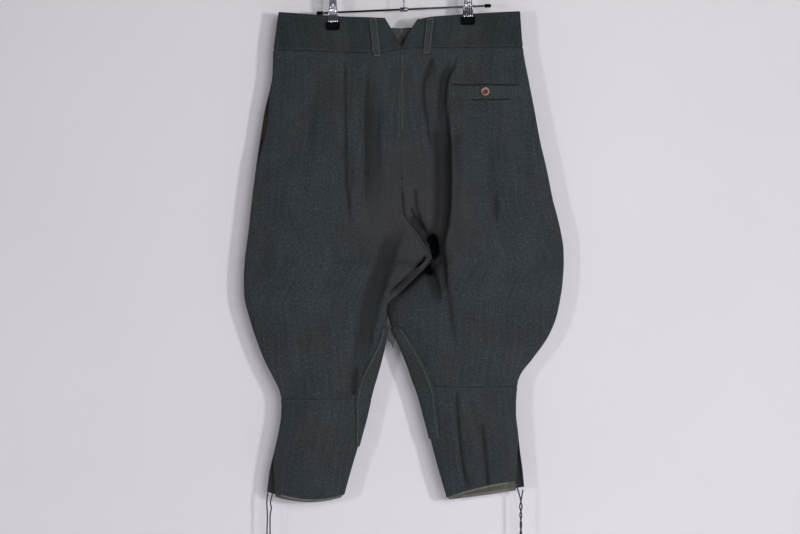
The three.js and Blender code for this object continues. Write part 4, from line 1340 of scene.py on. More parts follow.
@dataclass(frozen=True)
class Wool(Finish):
    """Coarse heathered wool twill."""

    slot: str = "wool"
    ground: tuple = tone(51, 56, 60)
    light: tuple = tone(76, 83, 86)
    dark: tuple = tone(34, 38, 42)
    flecks: float = 0.68
    rib: float = 0.3
    # Painted shade: the dark grey that the cloth's colour turns to inside its folds.
    painted_crease_shade: tuple = tone(36, 36, 37)
    warm: tuple = tone(56, 54, 54)
    cool: tuple = tone(45, 56, 60)
    # Painted shade: the near-black of the deepest folds.
    black: tuple = tone(9, 8, 10)
    worn: tuple = tone(62, 59, 60)
    seat: tuple = (0.02, -0.05, -0.46)

    def dress(self, graph: Graph) -> Socket:
        """Feeds the yarn into a matt, slightly downy shader, with painted shade in its folds; see
        Finish.dress.
        """
        yarn = HeatheredYarn().place(
            graph, Weave=self.weave(graph), Ground=self.ground, Light_fibre=self.light, Dark_fibre=self.dark,
            Warm_fibre=self.warm, Cool_fibre=self.cool, Flecks=self.flecks, Rib=self.rib,
        )
        painted_fold_shade = graph.add("Attribute", {"attribute_name": "painted_fold_shade"}).outputs["Fac"]
        place = graph.add("TexCoord").outputs["Object"]
        away = graph.add("VectorMath", {"operation": "DISTANCE"}, i0=place, i1=self.seat).outputs["Value"]
        shade = graph.blend(graph.between(away, 0.16, 0.04, 0.0, 0.5), yarn["Color"], self.worn)
        # Painted shade: the fold attribute turns the colour dark grey in the folds, then near-black in the
        # deepest.
        shade = graph.blend(graph.between(painted_fold_shade, 0.1, 0.9, 0.0, 0.8), shade, self.painted_crease_shade)
        shade = graph.blend(graph.between(painted_fold_shade, 1.1, 2.0, 0.0, 0.9), shade, self.black)
        shader = self.surface(
            graph, shade, yarn["Roughness"], (yarn["Height"], 0.0005, 0.9), Sheen_Weight=0.04,
            Sheen_Roughness=0.45, Sheen_Tint=tone(176, 186, 192), Specular_IOR_Level=0.2,
        )
        # Painted shade: in the deepest folds the whole shader fades into a plain near-black diffuse.
        depth = graph.add("BsdfDiffuse", Color=self.black).outputs[0]
        deep = graph.between(painted_fold_shade, 1.0, 2.0, 0.0, 0.97)
        return graph.add("MixShader", i0=deep, i1=shader, i2=depth).outputs[0]


@dataclass(frozen=True)
class Cotton(Finish):
    """Plain woven cotton."""

    ground: tuple = tone(108, 110, 94)
    soil: tuple = tone(74, 74, 60)
    pitch: float = 0.7

    def dress(self, graph: Graph) -> Socket:
        """Feeds the weave into a matt shader; see Finish.dress."""
        cloth = PlainWeave().place(
            graph, Weave=self.weave(graph), Ground=self.ground, Soil=self.soil, Pitch=self.pitch
        )
        relief = (cloth["Height"], 0.00012, 0.6)
        return self.surface(graph, cloth["Color"], 0.9, relief, Specular_IOR_Level=0.25)


@dataclass(frozen=True)
class Plated(Finish):
    """Bright plated steel, with the smears and scratches of use."""

    slot: str = "chrome"
    ground: tuple = tone(222, 222, 226)
    worn: tuple = tone(178, 177, 180)

    def dress(self, graph: Graph) -> Socket:
        """Feeds the marks of handling into a metal; see Finish.dress."""
        place = graph.add("TexCoord").outputs["Object"]
        marks = Handling().place(graph, Place=place, Clean=0.07, Worn=0.34, Size=1.0)
        shade = graph.blend(marks["Wear"], self.ground, self.worn)
        return self.surface(graph, shade, marks["Roughness"], (marks["Height"], 0.00002, 0.5), Metallic=1.0)


@dataclass(frozen=True)
class Rubber(Finish):
    """Dull black rubber."""

    slot: str = "rubber"
    clean: float = 0.62
    worn: float = 0.85

    def dress(self, graph: Graph) -> Socket:
        """Feeds dust and scuffs into a black shader; see Finish.dress."""
        place = graph.add("TexCoord").outputs["Object"]
        marks = Handling().place(graph, Place=place, Clean=self.clean, Worn=self.worn, Size=1.4)
        shade = graph.blend(marks["Wear"], tone(3, 4, 7), tone(9, 11, 15))
        relief = (marks["Height"], 0.00006, 0.6)
        return self.surface(graph, shade, marks["Roughness"], relief, Specular_IOR_Level=0.05)


@dataclass(frozen=True)
class Horn(Finish):
    """Brown horn, turned and softly polished."""

    slot: str = "button"
    ground: tuple = tone(150, 104, 78)
    pale: tuple = tone(206, 166, 142)
    deep: tuple = tone(84, 48, 34)

    def dress(self, graph: Graph) -> Socket:
        """Feeds the grain into a coated shader; see Finish.dress."""
        place = graph.add("TexCoord").outputs["Object"]
        grain = Streaks().place(graph, Place=place, Ground=self.ground, Pale=self.pale, Deep=self.deep)
        marks = Handling().place(graph, Place=place, Clean=0.22, Worn=0.46, Size=3.0)
        rough, relief = marks["Roughness"], (grain["Height"], 0.00003, 0.5)
        return self.surface(graph, grain["Color"], rough, relief, Coat_Weight=0.12, Coat_Roughness=0.15)


@dataclass(frozen=True)
class Yarn(Finish):
    """Twisted or braided yarn, as in a lace or a sewing thread."""

    ground: tuple = tone(92, 86, 78)
    pale: tuple = tone(132, 124, 112)
    pitch: float = 2.2

    def dress(self, graph: Graph) -> Socket:
        """Crosses two slanting waves into a braid; see Finish.dress."""
        parts = graph.add("SeparateXYZ", Vector=graph.stretched(self.weave(graph), 1000, 1000))
        turn = 2 * math.pi / self.pitch
        rising = graph.math("SINE", graph.times(graph.plus(parts.outputs[0], parts.outputs[1]), turn))
        slant = graph.math("SUBTRACT", parts.outputs[1], parts.outputs[0])
        falling = graph.math("SINE", graph.times(slant, turn))
        braid = graph.times(rising, falling)
        uneven = graph.grain(self.weave(graph), 1400, 300, detail=3, rough=0.6)
        shade = graph.blend(graph.between(graph.plus(braid, uneven), 0.0, 1.3), self.ground, self.pale)
        return self.surface(graph, shade, 0.86, (graph.plus(braid, uneven), 0.00025, 0.8), Sheen_Weight=0.1)


@dataclass(frozen=True)
class Paint(Finish):
    """Pale matt paint for the floor and the wall, which are not part of the object."""

    shade: tuple = tone(236, 233, 238)
    one_sided: bool = False

    def dress(self, graph: Graph) -> Socket:
        """A plain matt shader, seen through from behind where it is one-sided; see Finish.dress."""
        place = graph.add("TexCoord").outputs["Object"]
        drift = graph.noise(place, 1.5, 2, 0.5)
        shade = graph.blend(graph.between(drift, 0.3, 0.7, 0.0, 0.25), self.shade, tone(223, 220, 226))
        shader = graph.add("BsdfPrincipled", Base_Color=shade, Roughness=0.9).outputs[0]
        if not self.one_sided:
            return shader
        behind = graph.add("NewGeometry").outputs["Backfacing"]
        clear = graph.add("BsdfTransparent").outputs[0]
        return graph.add("MixShader", i0=behind, i1=shader, i2=clear).outputs[0]


WOOL = Wool("Wool of the legs")
BAND_WOOL = Wool("Wool of the waistband", ground=tone(42, 48, 51), light=tone(64, 73, 75), flecks=0.6)
TRIM_WOOL = Wool("Wool of the trims", ground=tone(53, 59, 62), light=tone(78, 85, 87))
# Painted shadow: near-black wool for the thin strips that stand for the shadow lines along the welt's top, at
# the pocket's mouth, and along its foot.
WELT_SHADOW_WOOL = Wool("Painted shadow of the welt", ground=tone(22, 24, 27), light=tone(36, 40, 43),
                 dark=tone(12, 13, 15))
LINING = Cotton("Olive lining", "lining")
BAND_LINING = Cotton("Grey lining of the band", "lining", ground=tone(88, 90, 86), soil=tone(62, 64, 62))
# Painted shadow: the dark brown of the strip along the notch's right edge, where the band's edge shades the
# lining.
NOTCH_SHADOW_CLOTH = Cotton("Painted shadow in the notch", "lining", ground=tone(66, 61, 59), soil=tone(46, 42, 41))
HEM_TAPE = Cotton("Grey tape of the hems", "lining", ground=tone(122, 117, 118), soil=tone(84, 80, 81))
BROWN_THREAD = Yarn("Brown button thread", "button", ground=tone(70, 40, 28), pale=tone(128, 78, 50),
                    pitch=0.9)
FACING = Cotton("Rust facing", "facing", ground=tone(86, 64, 52), soil=tone(50, 38, 32))
LACE = Yarn("Braided lace", "lace", ground=tone(34, 31, 32), pale=tone(64, 59, 58))
GREY_THREAD = Yarn("Grey sewing thread", "wool", ground=tone(60, 66, 68), pale=tone(92, 98, 98), pitch=0.9)
PALE_THREAD = Yarn("Pale sewing thread", "wool", ground=tone(120, 122, 118), pale=tone(178, 178, 170),
                   pitch=0.9)
STEEL = Plated("Plated steel", ground=tone(150, 150, 156), worn=tone(104, 104, 110))
# Painted reflection: the chrome bar is given dark steel that stands for the dark surroundings it reflects.
DARK_STEEL = Plated("Plated steel of the bar", ground=tone(62, 62, 68), worn=tone(42, 42, 48))
JAW_STEEL = Plated("Plated steel of the clips", ground=tone(168, 170, 178), worn=tone(112, 114, 120))
RUBBER = Rubber("Black rubber")
GLOSS_RUBBER = Rubber("Glossy black caps", clean=0.12, worn=0.3)
FLOOR_PAINT = Paint("Pale floor", "")
WALL_PAINT = Paint("Pale wall", "", one_sided=True)
HORN = Horn("Brown horn")
# Painted shade: a darker copy of the horn for the sunk dish of each button.
SHADED_HORN = Horn("Horn with painted shade", ground=tone(84, 50, 36), pale=tone(122, 76, 54), deep=tone(40, 22, 15))


# ---- Laces ----


@dataclass(frozen=True)
class Lace:
    """A round braided lace that hangs free from an eyelet at the corner of a calf vent."""

    name: str
    knots: tuple[Point, ...]

    def path(self) -> Array:
        """The lace's centreline, from its eyelet to its free end, in millimetres."""
        knots = np.array(self.knots, float)
        return smooth_line(np.column_stack([knots[:, 0], knots[:, 1], -knots[:, 2]]), 2.5)


@dataclass
class Laces:
    """The four laces of the calves. The left pair hangs straight, and the right pair twists together."""

    diameter: float = 2.5
    twist_at: tuple[float, float] = (216.5, -3.0)
    twist_from: float = 990.0
    twist_step: float = 8.0
    twist_pitch: float = 34.0
    twist_radius: float = 1.4
    loop_drop: float = 1012.0
    loop_height: float = 9.0
    loop_radius: float = 1.2

    def build(self) -> None:
        for lace in (*self._straight(), *self._twisted()):
            self._hang(lace)

    def _straight(self) -> tuple[Lace, Lace]:
        """The left vent's pair."""
        return (
            Lace("lace_left_front", ((-251.6, 1.5, 980.5), (-253.4, 1.6, 999), (-252.4, 1.8, 1026),
                                     (-253.2, 2, 1060), (-252.6, 2, 1120), (-253, 2.2, 1180))),
            Lace("lace_left_back", ((-242.4, -6, 981.5), (-246.4, -5.4, 999), (-244.9, -4.8, 1010),
                                    (-247.2, -4.2, 1030), (-246.8, -4, 1110), (-247.4, -3.8, 1168))),
        )

    def _twisted(self) -> tuple[Lace, Lace]:
        """The right vent's pair."""
        return (
            Lace("lace_right_back", ((207.5, -8, 963), (211, -6, 976), *self._twist(math.pi, 1176))),
            Lace("lace_right_front", ((220.5, 1, 975.5), *self._twist(0, 1164))),
        )

    def _twist(self, phase: float, end: float) -> tuple[Point, ...]:
        """The places of a lace that winds round its neighbour.

        Args:
            phase: the turn at which it starts.
            end: the drop of its free end.

        Returns:
            Its x, y and drop at each step.
        """
        places = []
        for drop in np.arange(self.twist_from, end + 0.1, self.twist_step):
            angle = phase + 2 * math.pi * (drop - self.twist_from) / self.twist_pitch
            radius = self.twist_radius + self.loop_radius * bell((drop - self.loop_drop) / self.loop_height)
            x, y = self.twist_at
            places.append((x + radius * math.cos(angle), y + radius * math.sin(angle), float(drop)))
        return tuple(places)

    def _hang(self, lace: Lace) -> None:
        """Builds one lace in place of its solid."""
        path = lace.path()
        piece = tube(f"braided_{lace.name}", path, self.diameter / 2, sides=10, tips=0.55)
        dressed(piece, LACE, lace.name)


# ---- Panels of cloth ----


@dataclass
class Panels:
    """The eight panels of the legs: four above the knee and four calves, open at the side towards the hem."""

    leg_steps: tuple[float, float] = (1.9, 3.7)
    calf_steps: tuple[float, float] = (1.7, 3.0)
    leg_width: float = 280.0
    calf_size: tuple[float, float] = (155.0, 185.0)

    def build(self) -> None:
        """Builds the panels in place of their solids."""
        for leg, layer in SIDES:
            self._leg(leg, layer)
        for leg, layer in SIDES:
            self._calf(leg, layer)

    def _leg(self, leg: Leg, layer: Layer) -> None:
        """Builds one panel from the band to the knee.

        Args:
            leg: the leg.
            layer: its seat side or its fly side.
        """
        step_across, step_down = self.leg_steps
        levels = spaced(leg.knee - SHAPE.waist_drop, step_down)
        across, level = np.meshgrid(spaced(self.leg_width, step_across), levels)
        x = mix(leg.stations.read("outer", SHAPE.waist_drop), SHAPE.centre, across)
        top = BAND_EDGES[layer].read("bottom", x) + SEAM / 2
        spots = Spots(leg, layer, across, mix(top, leg.knee - SEAM / 2, level))
        name = f"{layer.word}_{leg.hand}"
        cloth(name, spots, WOOL, CLOTH, shaded=True)

    def _calf(self, leg: Leg, layer: Layer) -> None:
        """Builds one panel from the knee to the hem.

        Args:
            leg: the leg.
            layer: its seat side or its fly side.
        """
        (width, length), (step_across, step_down) = self.calf_size, self.calf_steps
        across, level = np.meshgrid(spaced(width, step_across), spaced(length, step_down))
        drop = mix(leg.knee + SEAM / 2, parabola(leg.hems[layer], across), level)
        name = f"calf_{layer.word}_{leg.hand}"
        cloth(name, Spots(leg, layer, across, drop), WOOL, CLOTH, (0, 1, 0.5, 0), shaded=True)


@dataclass
class Waistband:
    """The high waistband, notched at the back, with the lining that shows through the notch."""

    notch: dict[str, float] = field(default_factory=lambda: {"left": 31.0, "right": 29.0})
    notch_gap: float = 0.6
    notch_bend: float = 1.2
    free: float = 0.9995
    side_top: float = 92.0
    side_bottom: float = 160.0
    width: float = 230.0
    height: float = 66.0
    step_across: float = 2.3
    step_down: float = 2.1
    lined: tuple[float, float] = (0.75, 1.0)
    lined_down: tuple[float, float] = (0.02, 0.966)

    def build(self) -> None:
        """Builds the four quarters of the band and its two linings in place of their solids."""
        for leg, layer in SIDES:
            t, v = np.meshgrid(spaced(self.width, self.step_across), spaced(self.height, self.step_down))
            name = f"band_{layer.word}_{leg.hand}"
            rims = (1, 0, 0, 1 if layer is BACK else 0)
            cloth(name, self.spots(leg, layer, t, v), BAND_WOOL, BAND_CLOTH, rims)
        for leg in LEGS:
            t, v = np.meshgrid(np.linspace(*self.lined, 30), np.linspace(*self.lined_down, 34))
            spots, name = self.spots(leg, FRONT, t, v), f"band_lining_{leg.hand}"
            cloth(name, spots, BAND_LINING, LINING_CLOTH, (1, 1, 0, 0), -BAND_CLOTH - SEAM)

    def spots(self, leg: Leg, layer: Layer, t: Array, v: Array) -> Spots:
        """Where the band's points are.

        Args:
            leg: the leg below.
            layer: the seat side or the fly side.
            t: shares from the side seam to the band's end.
            v: shares from its top to its bottom.

        Returns:
            Their places on the leg.
        """
        side = leg.stations.read("outer", mix(self.side_top, self.side_bottom, v))
        end = SHAPE.centre + leg.side * (self.notch_gap + self.notch[leg.hand] * (1 - v) ** self.notch_bend)
        if layer is FRONT:
            end = np.full_like(v, SHAPE.centre)
        wanted = mix(side, end, t)
        edges = BAND_EDGES[layer]
        drop = mix(edges.read("top", wanted), edges.read("bottom", wanted) - SEAM / 2, v)
        outer = leg.stations.read("outer", drop)
        across = (wanted - outer) / (SHAPE.centre - outer)
        across = np.where(t <= 0, 0.0, np.minimum(across, self.free))
        if layer is FRONT:
            across = np.where(t >= 1, 1.0, across)
        return Spots(leg, layer, across, drop)


@dataclass
class HemLinings:
    """The pale lining turned up inside each calf hem, to a little below the wool, and its grey tape."""

    height: float = 32.0
    below: float = 4.8
    start: float = 0.1
    tape: float = 5.4
    width: float = 140.0
    step: float = 3.0

    def build(self) -> None:
        """Builds the four linings in place of their solids, and their tapes."""
        inside, behind = -CLOTH - SEAM, -CLOTH - LINING_CLOTH - 2 * SEAM
        for leg, layer in SIDES:
            spots = self._spots(leg, layer, -self.height, self.tape / 2, 22)
            name = f"calf_lining_{layer.word}_{leg.hand}"
            cloth(name, spots, LINING, LINING_CLOTH, (0, 1, 0, 0), inside)
        for leg, layer in SIDES:
            spots = self._spots(leg, layer, self.below - self.tape, 0.0, 7)
            name = f"hem_tape_{layer.word}_{leg.hand}"
            cloth(name, spots, HEM_TAPE, LINING_CLOTH, (0.5, 0.5, 0, 0), behind, stands_in=False)

    def _spots(self, leg: Leg, layer: Layer, top: float, short: float, rows: int) -> Spots:
        """The places of a strip along a hem.

        Args:
            leg: the leg.
            layer: its seat side or its fly side.
            top: where the strip starts, below the wool's edge.
            short: how much higher than the linings' edge it ends.
            rows: how many rows of points it has.

        Returns:
            The places.
        """
        shares = mix(self.start, 1.0, spaced(self.width, self.step))
        across, level = np.meshgrid(shares, np.linspace(0, 1, rows))
        hem = parabola(leg.hems[layer], across)
        return Spots(leg, layer, across, mix(hem + top, hem + self.below - short, level))


@dataclass
class Fork:
    """What closes the fork: the lined point in its gap, and the hidden wall of the seat's fold."""

    top: float = 636.0
    parts: float = 692.0
    bottom: float = 714.0
    tip: float = -20.0
    tip_half: float = 0.6
    narrowing: float = 0.8
    sag: float = 2.4
    sag_reach: float = 26.0
    clear: float = 0.8
    thick: float = 1.4
    fold_top: float = 549.5
    fold_bottom: float = 634.0
    fold_held: float = 0.985
    fold_clear: float = 2.3

    def build(self) -> None:
        """Builds both pieces."""
        self._point()
        self._underfold()

    def _point(self) -> None:
        """Builds the lined point as one piece of cloth between the inseams, below the seat's fork."""
        share, drop = np.meshgrid(np.linspace(0, 1, 14), np.linspace(self.top, self.bottom, 34))
        taper = ease((drop - self.parts) / (self.bottom - self.parts)) ** self.narrowing
        held = np.minimum(drop, self.parts)
        left = mix(LEFT.stations.read("inner", held) + self.clear, self.tip - self.tip_half, taper)
        right = mix(RIGHT.stations.read("inner", held) - self.clear, self.tip + self.tip_half, taper)
        sag = self.sag * np.sin(np.pi * share) * bell((drop - self.parts) / self.sag_reach)
        lean = mix(LEFT.stations.read("lean", drop), RIGHT.stations.read("lean", drop), share)
        outer = np.stack([mix(left, right, share), lean + sag, -drop], axis=-1)
        ways = np.zeros_like(outer)
        ways[..., 1] = -1.0
        dressed(Wall("cloth_fork_point", outer, self.thick, (0.5,) * 4, ways=ways).build(), BAND_LINING)

    def _underfold(self) -> None:
        """Builds the wool that runs back from the left leg to the right one behind the seat's flap."""
        share, drop = np.meshgrid(np.linspace(0, 1, 12), np.linspace(self.fold_top, self.fold_bottom, 40))
        left = SHAPE.creased(Spots(LEFT, FRONT, np.full_like(drop, self.fold_held), drop), SEAM)
        right = SHAPE.creased(Spots(RIGHT, BACK, np.ones_like(drop), drop)) - (self.fold_clear, 0, 0)
        outer = mix(left, right, share[..., None])
        dressed(Wall("cloth_underfold", outer, CLOTH, (0, 1, 0, 0)).build(), WOOL)


# ---- What lies on the panels ----


@dataclass(frozen=True)
class Strip:
    """A strip of cloth that lies on the breeches between two drops, about a line from one x to another."""

    node: str
    layer: Layer
    from_x: float
    to_x: float
    top: float
    bottom: float
    width: float
    gap: float = 0.5
    bow: float = 0.0
    rows: int = 60
    columns: int = 14
    corner: float = 0.0
    painted_shadow_strip: bool = False
    crown: float = 0.35

    def line(self, u: Array, v: Array) -> Row:
        """Points on the strip's face, at shares across it and down it, and their ways out."""
        path = self._place(u, v, TRIM_CLOTH)
        ways = self._place(u, v, TRIM_CLOTH + 1) - path
        return path, ways / np.linalg.norm(ways, axis=1, keepdims=True)

    def _place(self, u: Array, v: Array, out: float | Array) -> Array:
        """Points over the strip.

        Args:
            u: shares across it, from -1 to 1.
            v: shares down it, from 0 to 1.
            out: how far the points stand out of the strip's back.

        Returns:
            The points, in millimetres.
        """
        ends = np.minimum(v, 1 - v) * (self.bottom - self.top)
        near = 1 - np.clip(ends / max(self.corner, 1e-6), 0, 1)
        short = self.corner * (1 - np.sqrt(np.clip(1 - near**2, 0, 1)))
        x = mix(self.from_x, self.to_x, v) + u * (self.width / 2 - short)
        drop = mix(self.top, self.bottom, v) + 0 * u
        return SHAPE.creased(SHAPE.under(self.layer, x, drop), self.gap + self.bow * np.sin(np.pi * v) + out)

    def build(self) -> None:
        """Builds the strip, in place of its solid if it has one."""
        length = self.bottom - self.top
        u, v = np.meshgrid(2 * spaced(self.width, self.width / self.columns, 0.5, 3) - 1,
                           spaced(length, length / self.rows, 0.5, 3))
        crown = self.crown * (1 - u**6) * (1 - (2 * v - 1) ** 12)
        outer = self._place(u, v, TRIM_CLOTH - self.crown + crown)
        ways = grid_ways(outer) * self.layer.value
        piece = Wall(f"cloth_{self.node}", outer, TRIM_CLOTH, (0.8,) * 4, ways=ways).build()
        # Painted shadow: such a strip is near-black wool that stands for a shadow line, with no solid of its
        # own.
        if self.painted_shadow_strip:
            dressed(piece, WELT_SHADOW_WOOL)
        else:
            dressed(piece, TRIM_WOOL, self.node)


@dataclass(frozen=True)
class NotchShadow:
    """A dark brown strip on the lining along the right edge of the notch: painted shadow, where the band's
    edge casts its shadow on the lining.
    """

    top: float = 127.0
    bottom: float = 157.0
    from_x: float = 12.5
    to_x: float = -4.5
    width: float = 8.0
    deep: float = 5.0

    def build(self) -> None:
        """Builds the strip against the inside of the band's lining."""
        u, v = np.meshgrid(np.linspace(-0.5, 0.5, 8), np.linspace(0, 1, 30))
        x, drop = mix(self.from_x, self.to_x, v) + u * self.width, mix(self.top, self.bottom, v)
        spots = SHAPE.under(FRONT, np.maximum(x, SHAPE.centre + 0.8 + 0.6 * u), drop)
        outer = SHAPE.creased(spots, -self.deep)
        tape = Wall("cloth_notch_shadow", outer, LINING_CLOTH * 0.8, (1,) * 4, ways=grid_ways(outer))
        dressed(tape.build(), NOTCH_SHADOW_CLOTH)


LOOPS = (
    Strip("loop_back_left", BACK, -57, -49.5, 104.5, 176, width=14, bow=1.8),
    Strip("loop_back_right", BACK, 49, 42, 104, 170, width=14, bow=1.8),
    Strip("loop_front_left", FRONT, -84, -84, 113, 189, width=14, bow=1.8),
    Strip("loop_front_right", FRONT, 76, 76, 111, 187, width=14, bow=1.8),
)
FLY = Strip("fly", FRONT, -26, -26, 196, 402, width=43, rows=100, columns=30)
STRIPS = (
    *LOOPS,
    Strip("pocket_welt", BACK, 149.5, 149.5, 229.5, 254, width=127, gap=0.9, rows=26, columns=90, corner=5),
    FLY,
    # Two near-black strips that paint the shadow lines along the welt's top, at the pocket's mouth, and along
    # its foot.
    Strip("welt_jet", BACK, 150, 150, 226.8, 229.2, width=118, gap=-0.5, rows=4, columns=90, painted_shadow_strip=True),
    Strip("welt_foot", BACK, 160, 160, 254.2, 255.8, width=68, gap=-0.8, rows=4, columns=60, painted_shadow_strip=True),
)


@dataclass
class Strappings:
    """The inner-leg strappings: a long leaf of the same wool, folded under and stitched round each inseam."""

    front_share: float = 1.2
    gap: float = 1.2
    ridge: float = 0.35
    ridge_at: float = 0.86
    ridge_width: float = 0.1
    reaches: dict[str, Table] = field(default_factory=lambda: {
        "left": Table("drop reach", (676, 8), (698, 10), (736, 19), (772, 27), (807, 26), (836, 20),
                      (866, 12), (895, 5)),
        "right": Table("drop reach", (676, 16), (695, 22), (725, 27), (755, 32), (785, 34), (819, 28),
                       (853, 22), (881, 17)),
    })

    def line(self, leg: Leg, layer: Layer, share: Array, drop: Array, out: float | Array) -> Row:
        """Points over one side of a strapping.

        Args:
            leg: the leg.
            layer: the side of the inseam.
            share: shares of the reach, 0 at the inseam and 1 at the edge.
            drop: drops, in the same shape.
            out: how far the points stand out of the legs' cloth.

        Returns:
            The points in millimetres, and their ways out.
        """
        wide = 1.0 if layer is BACK else self.front_share
        inseam = leg.stations.read("inner", drop) + leg.side * SEAM / 2 + leg.stations.read("flap", drop)
        reach = self.reaches[leg.hand].read("reach", drop) * wide
        found = SHAPE.find(leg, layer, inseam + leg.side * reach * share, drop)
        return SHAPE.line(Spots(leg, layer, np.where(share <= 0, 1.0, found.across), drop), out)

    def build(self) -> None:
        """Builds both strappings in place of their solids."""
        for leg in LEGS:
            key = self.reaches[leg.hand].key
            levels = mix(key[0], key[-1], spaced(float(key[-1] - key[0]), 3.0, 0.6, 4))
            share, drop = np.meshgrid(spaced(30, 1.3, 0.5, 3), levels)
            edge = self.gap + TRIM_CLOTH + self.ridge * bell((share - self.ridge_at) / self.ridge_width)
            sides = zip(self.line(leg, BACK, share, drop, edge), self.line(leg, FRONT, share, drop, edge))
            outer, ways = (np.concatenate([back[:, ::-1], front], axis=1) for back, front in sides)
            piece = Wall(f"cloth_strapping_{leg.hand}", outer, TRIM_CLOTH, (0.8,) * 4, ways=ways).build()
            dressed(piece, TRIM_WOOL, f"strapping_{leg.hand}")


@dataclass
class PocketFacing:
    """The rust-brown facing behind the mouth of the left side pocket."""

    top: float = 236.0
    bottom: float = 372.0
    reach: tuple[float, float] = (0.006, 0.05)

    def build(self) -> None:
        """Builds the facing in place of its solid."""
        across, drop = np.meshgrid(np.linspace(*self.reach, 14), np.linspace(self.top, self.bottom, 46))
        cloth("pocket_facing", Spots(LEFT, FRONT, across, drop), FACING, LINING_CLOTH, out=-CLOTH - SEAM)


# ---- Sewing ----


@dataclass
class Sewing:
    """Rows of small stitches, each a short thread that dips into the cloth at both ends."""

    length: float = 2.7
    pitch: float = 3.5
    radius: float = 0.3
    rings: int = 5
    sides: int = 5

    def row(self, path: Array, ways: Array, satin: bool = False) -> Part:
        """The stitches along a line.

        Args:
            path: the points of the line on the cloth, in millimetres.
            ways: the cloth's way out at each point.
            satin: whether the stitches lie close together across the line, as in a bar tack.

        Returns:
            The stitches' points and faces.
        """
        travelled = np.r_[0, np.cumsum(np.linalg.norm(np.diff(path, axis=0), axis=1))]
        pitch = 2.2 * self.radius if satin else self.pitch
        stops = np.arange(pitch / 2, travelled[-1], pitch)
        centres, along, up = (
            np.stack([np.interp(stops, travelled, column) for column in line.T], axis=1)
            for line in (path, np.gradient(path, travelled, axis=0), ways)
        )
        along /= np.linalg.norm(along, axis=1, keepdims=True)
        aside = np.cross(up, along)
        aside /= np.linalg.norm(aside, axis=1, keepdims=True)
        if satin:
            along, aside = aside, along
        place = np.linspace(-1, 1, self.rings)
        girth = self.radius * np.sqrt(np.clip(1.08 - place**2, 0.05, 1))
        lift = self.radius * 0.9 * (1 - place**2) - self.radius * 0.5
        angle = 2 * math.pi * np.arange(self.sides) / self.sides
        t = np.repeat(place * self.length / 2, self.sides)
        n = np.repeat(lift, self.sides) + np.outer(girth, np.cos(angle)).ravel()
        b = np.outer(girth, np.sin(angle)).ravel()
        points = centres[:, None] + t[:, None] * along[:, None]
        points = points + n[:, None] * up[:, None] + b[:, None] * aside[:, None]
        ring, count = np.arange(self.sides), self.rings * self.sides
        faces = []
        for low in range(0, count - self.sides, self.sides):
            for k in ring:
                here, beside = low + k, low + (k + 1) % self.sides
                faces.append((here, beside, beside + self.sides, here + self.sides))
        faces += [tuple(ring[::-1].tolist()), tuple((ring + count - self.sides).tolist())]
        starts = range(0, count * len(stops), count)
        faces = [tuple(low + corner for corner in face) for low in starts for face in faces]
        return points.reshape(-1, 3), faces

    def build(self, name: str, rows: list[Row], finish: Finish, satin: bool = False) -> None:
        """Builds several rows as one piece.

        Args:
            name: the piece's name.
            rows: each row's points and ways out.
            finish: the thread's finish.
            satin: whether they are bar tacks.
        """
        piece, points = joined(name, [self.row(*row, satin) for row in rows])
        bm = bmesh.new()
        bm.from_mesh(piece.data)
        bmesh.ops.recalc_face_normals(bm, faces=bm.faces)
        bm.to_mesh(piece.data)
        bm.free()
        lay_map(piece, points[:, [0, 2]])
        dressed(piece, finish)


def cloth_line(layer: Layer, *knots: tuple[float, float], out: float = 0.0) -> Row:
    """A line on or off the finished cloth, through places given by their x and drop, all on one leg."""
    places = smooth_line(np.array(knots, float), 2.0)
    return SHAPE.line(SHAPE.under(layer, places[:, 0], places[:, 1]), out)


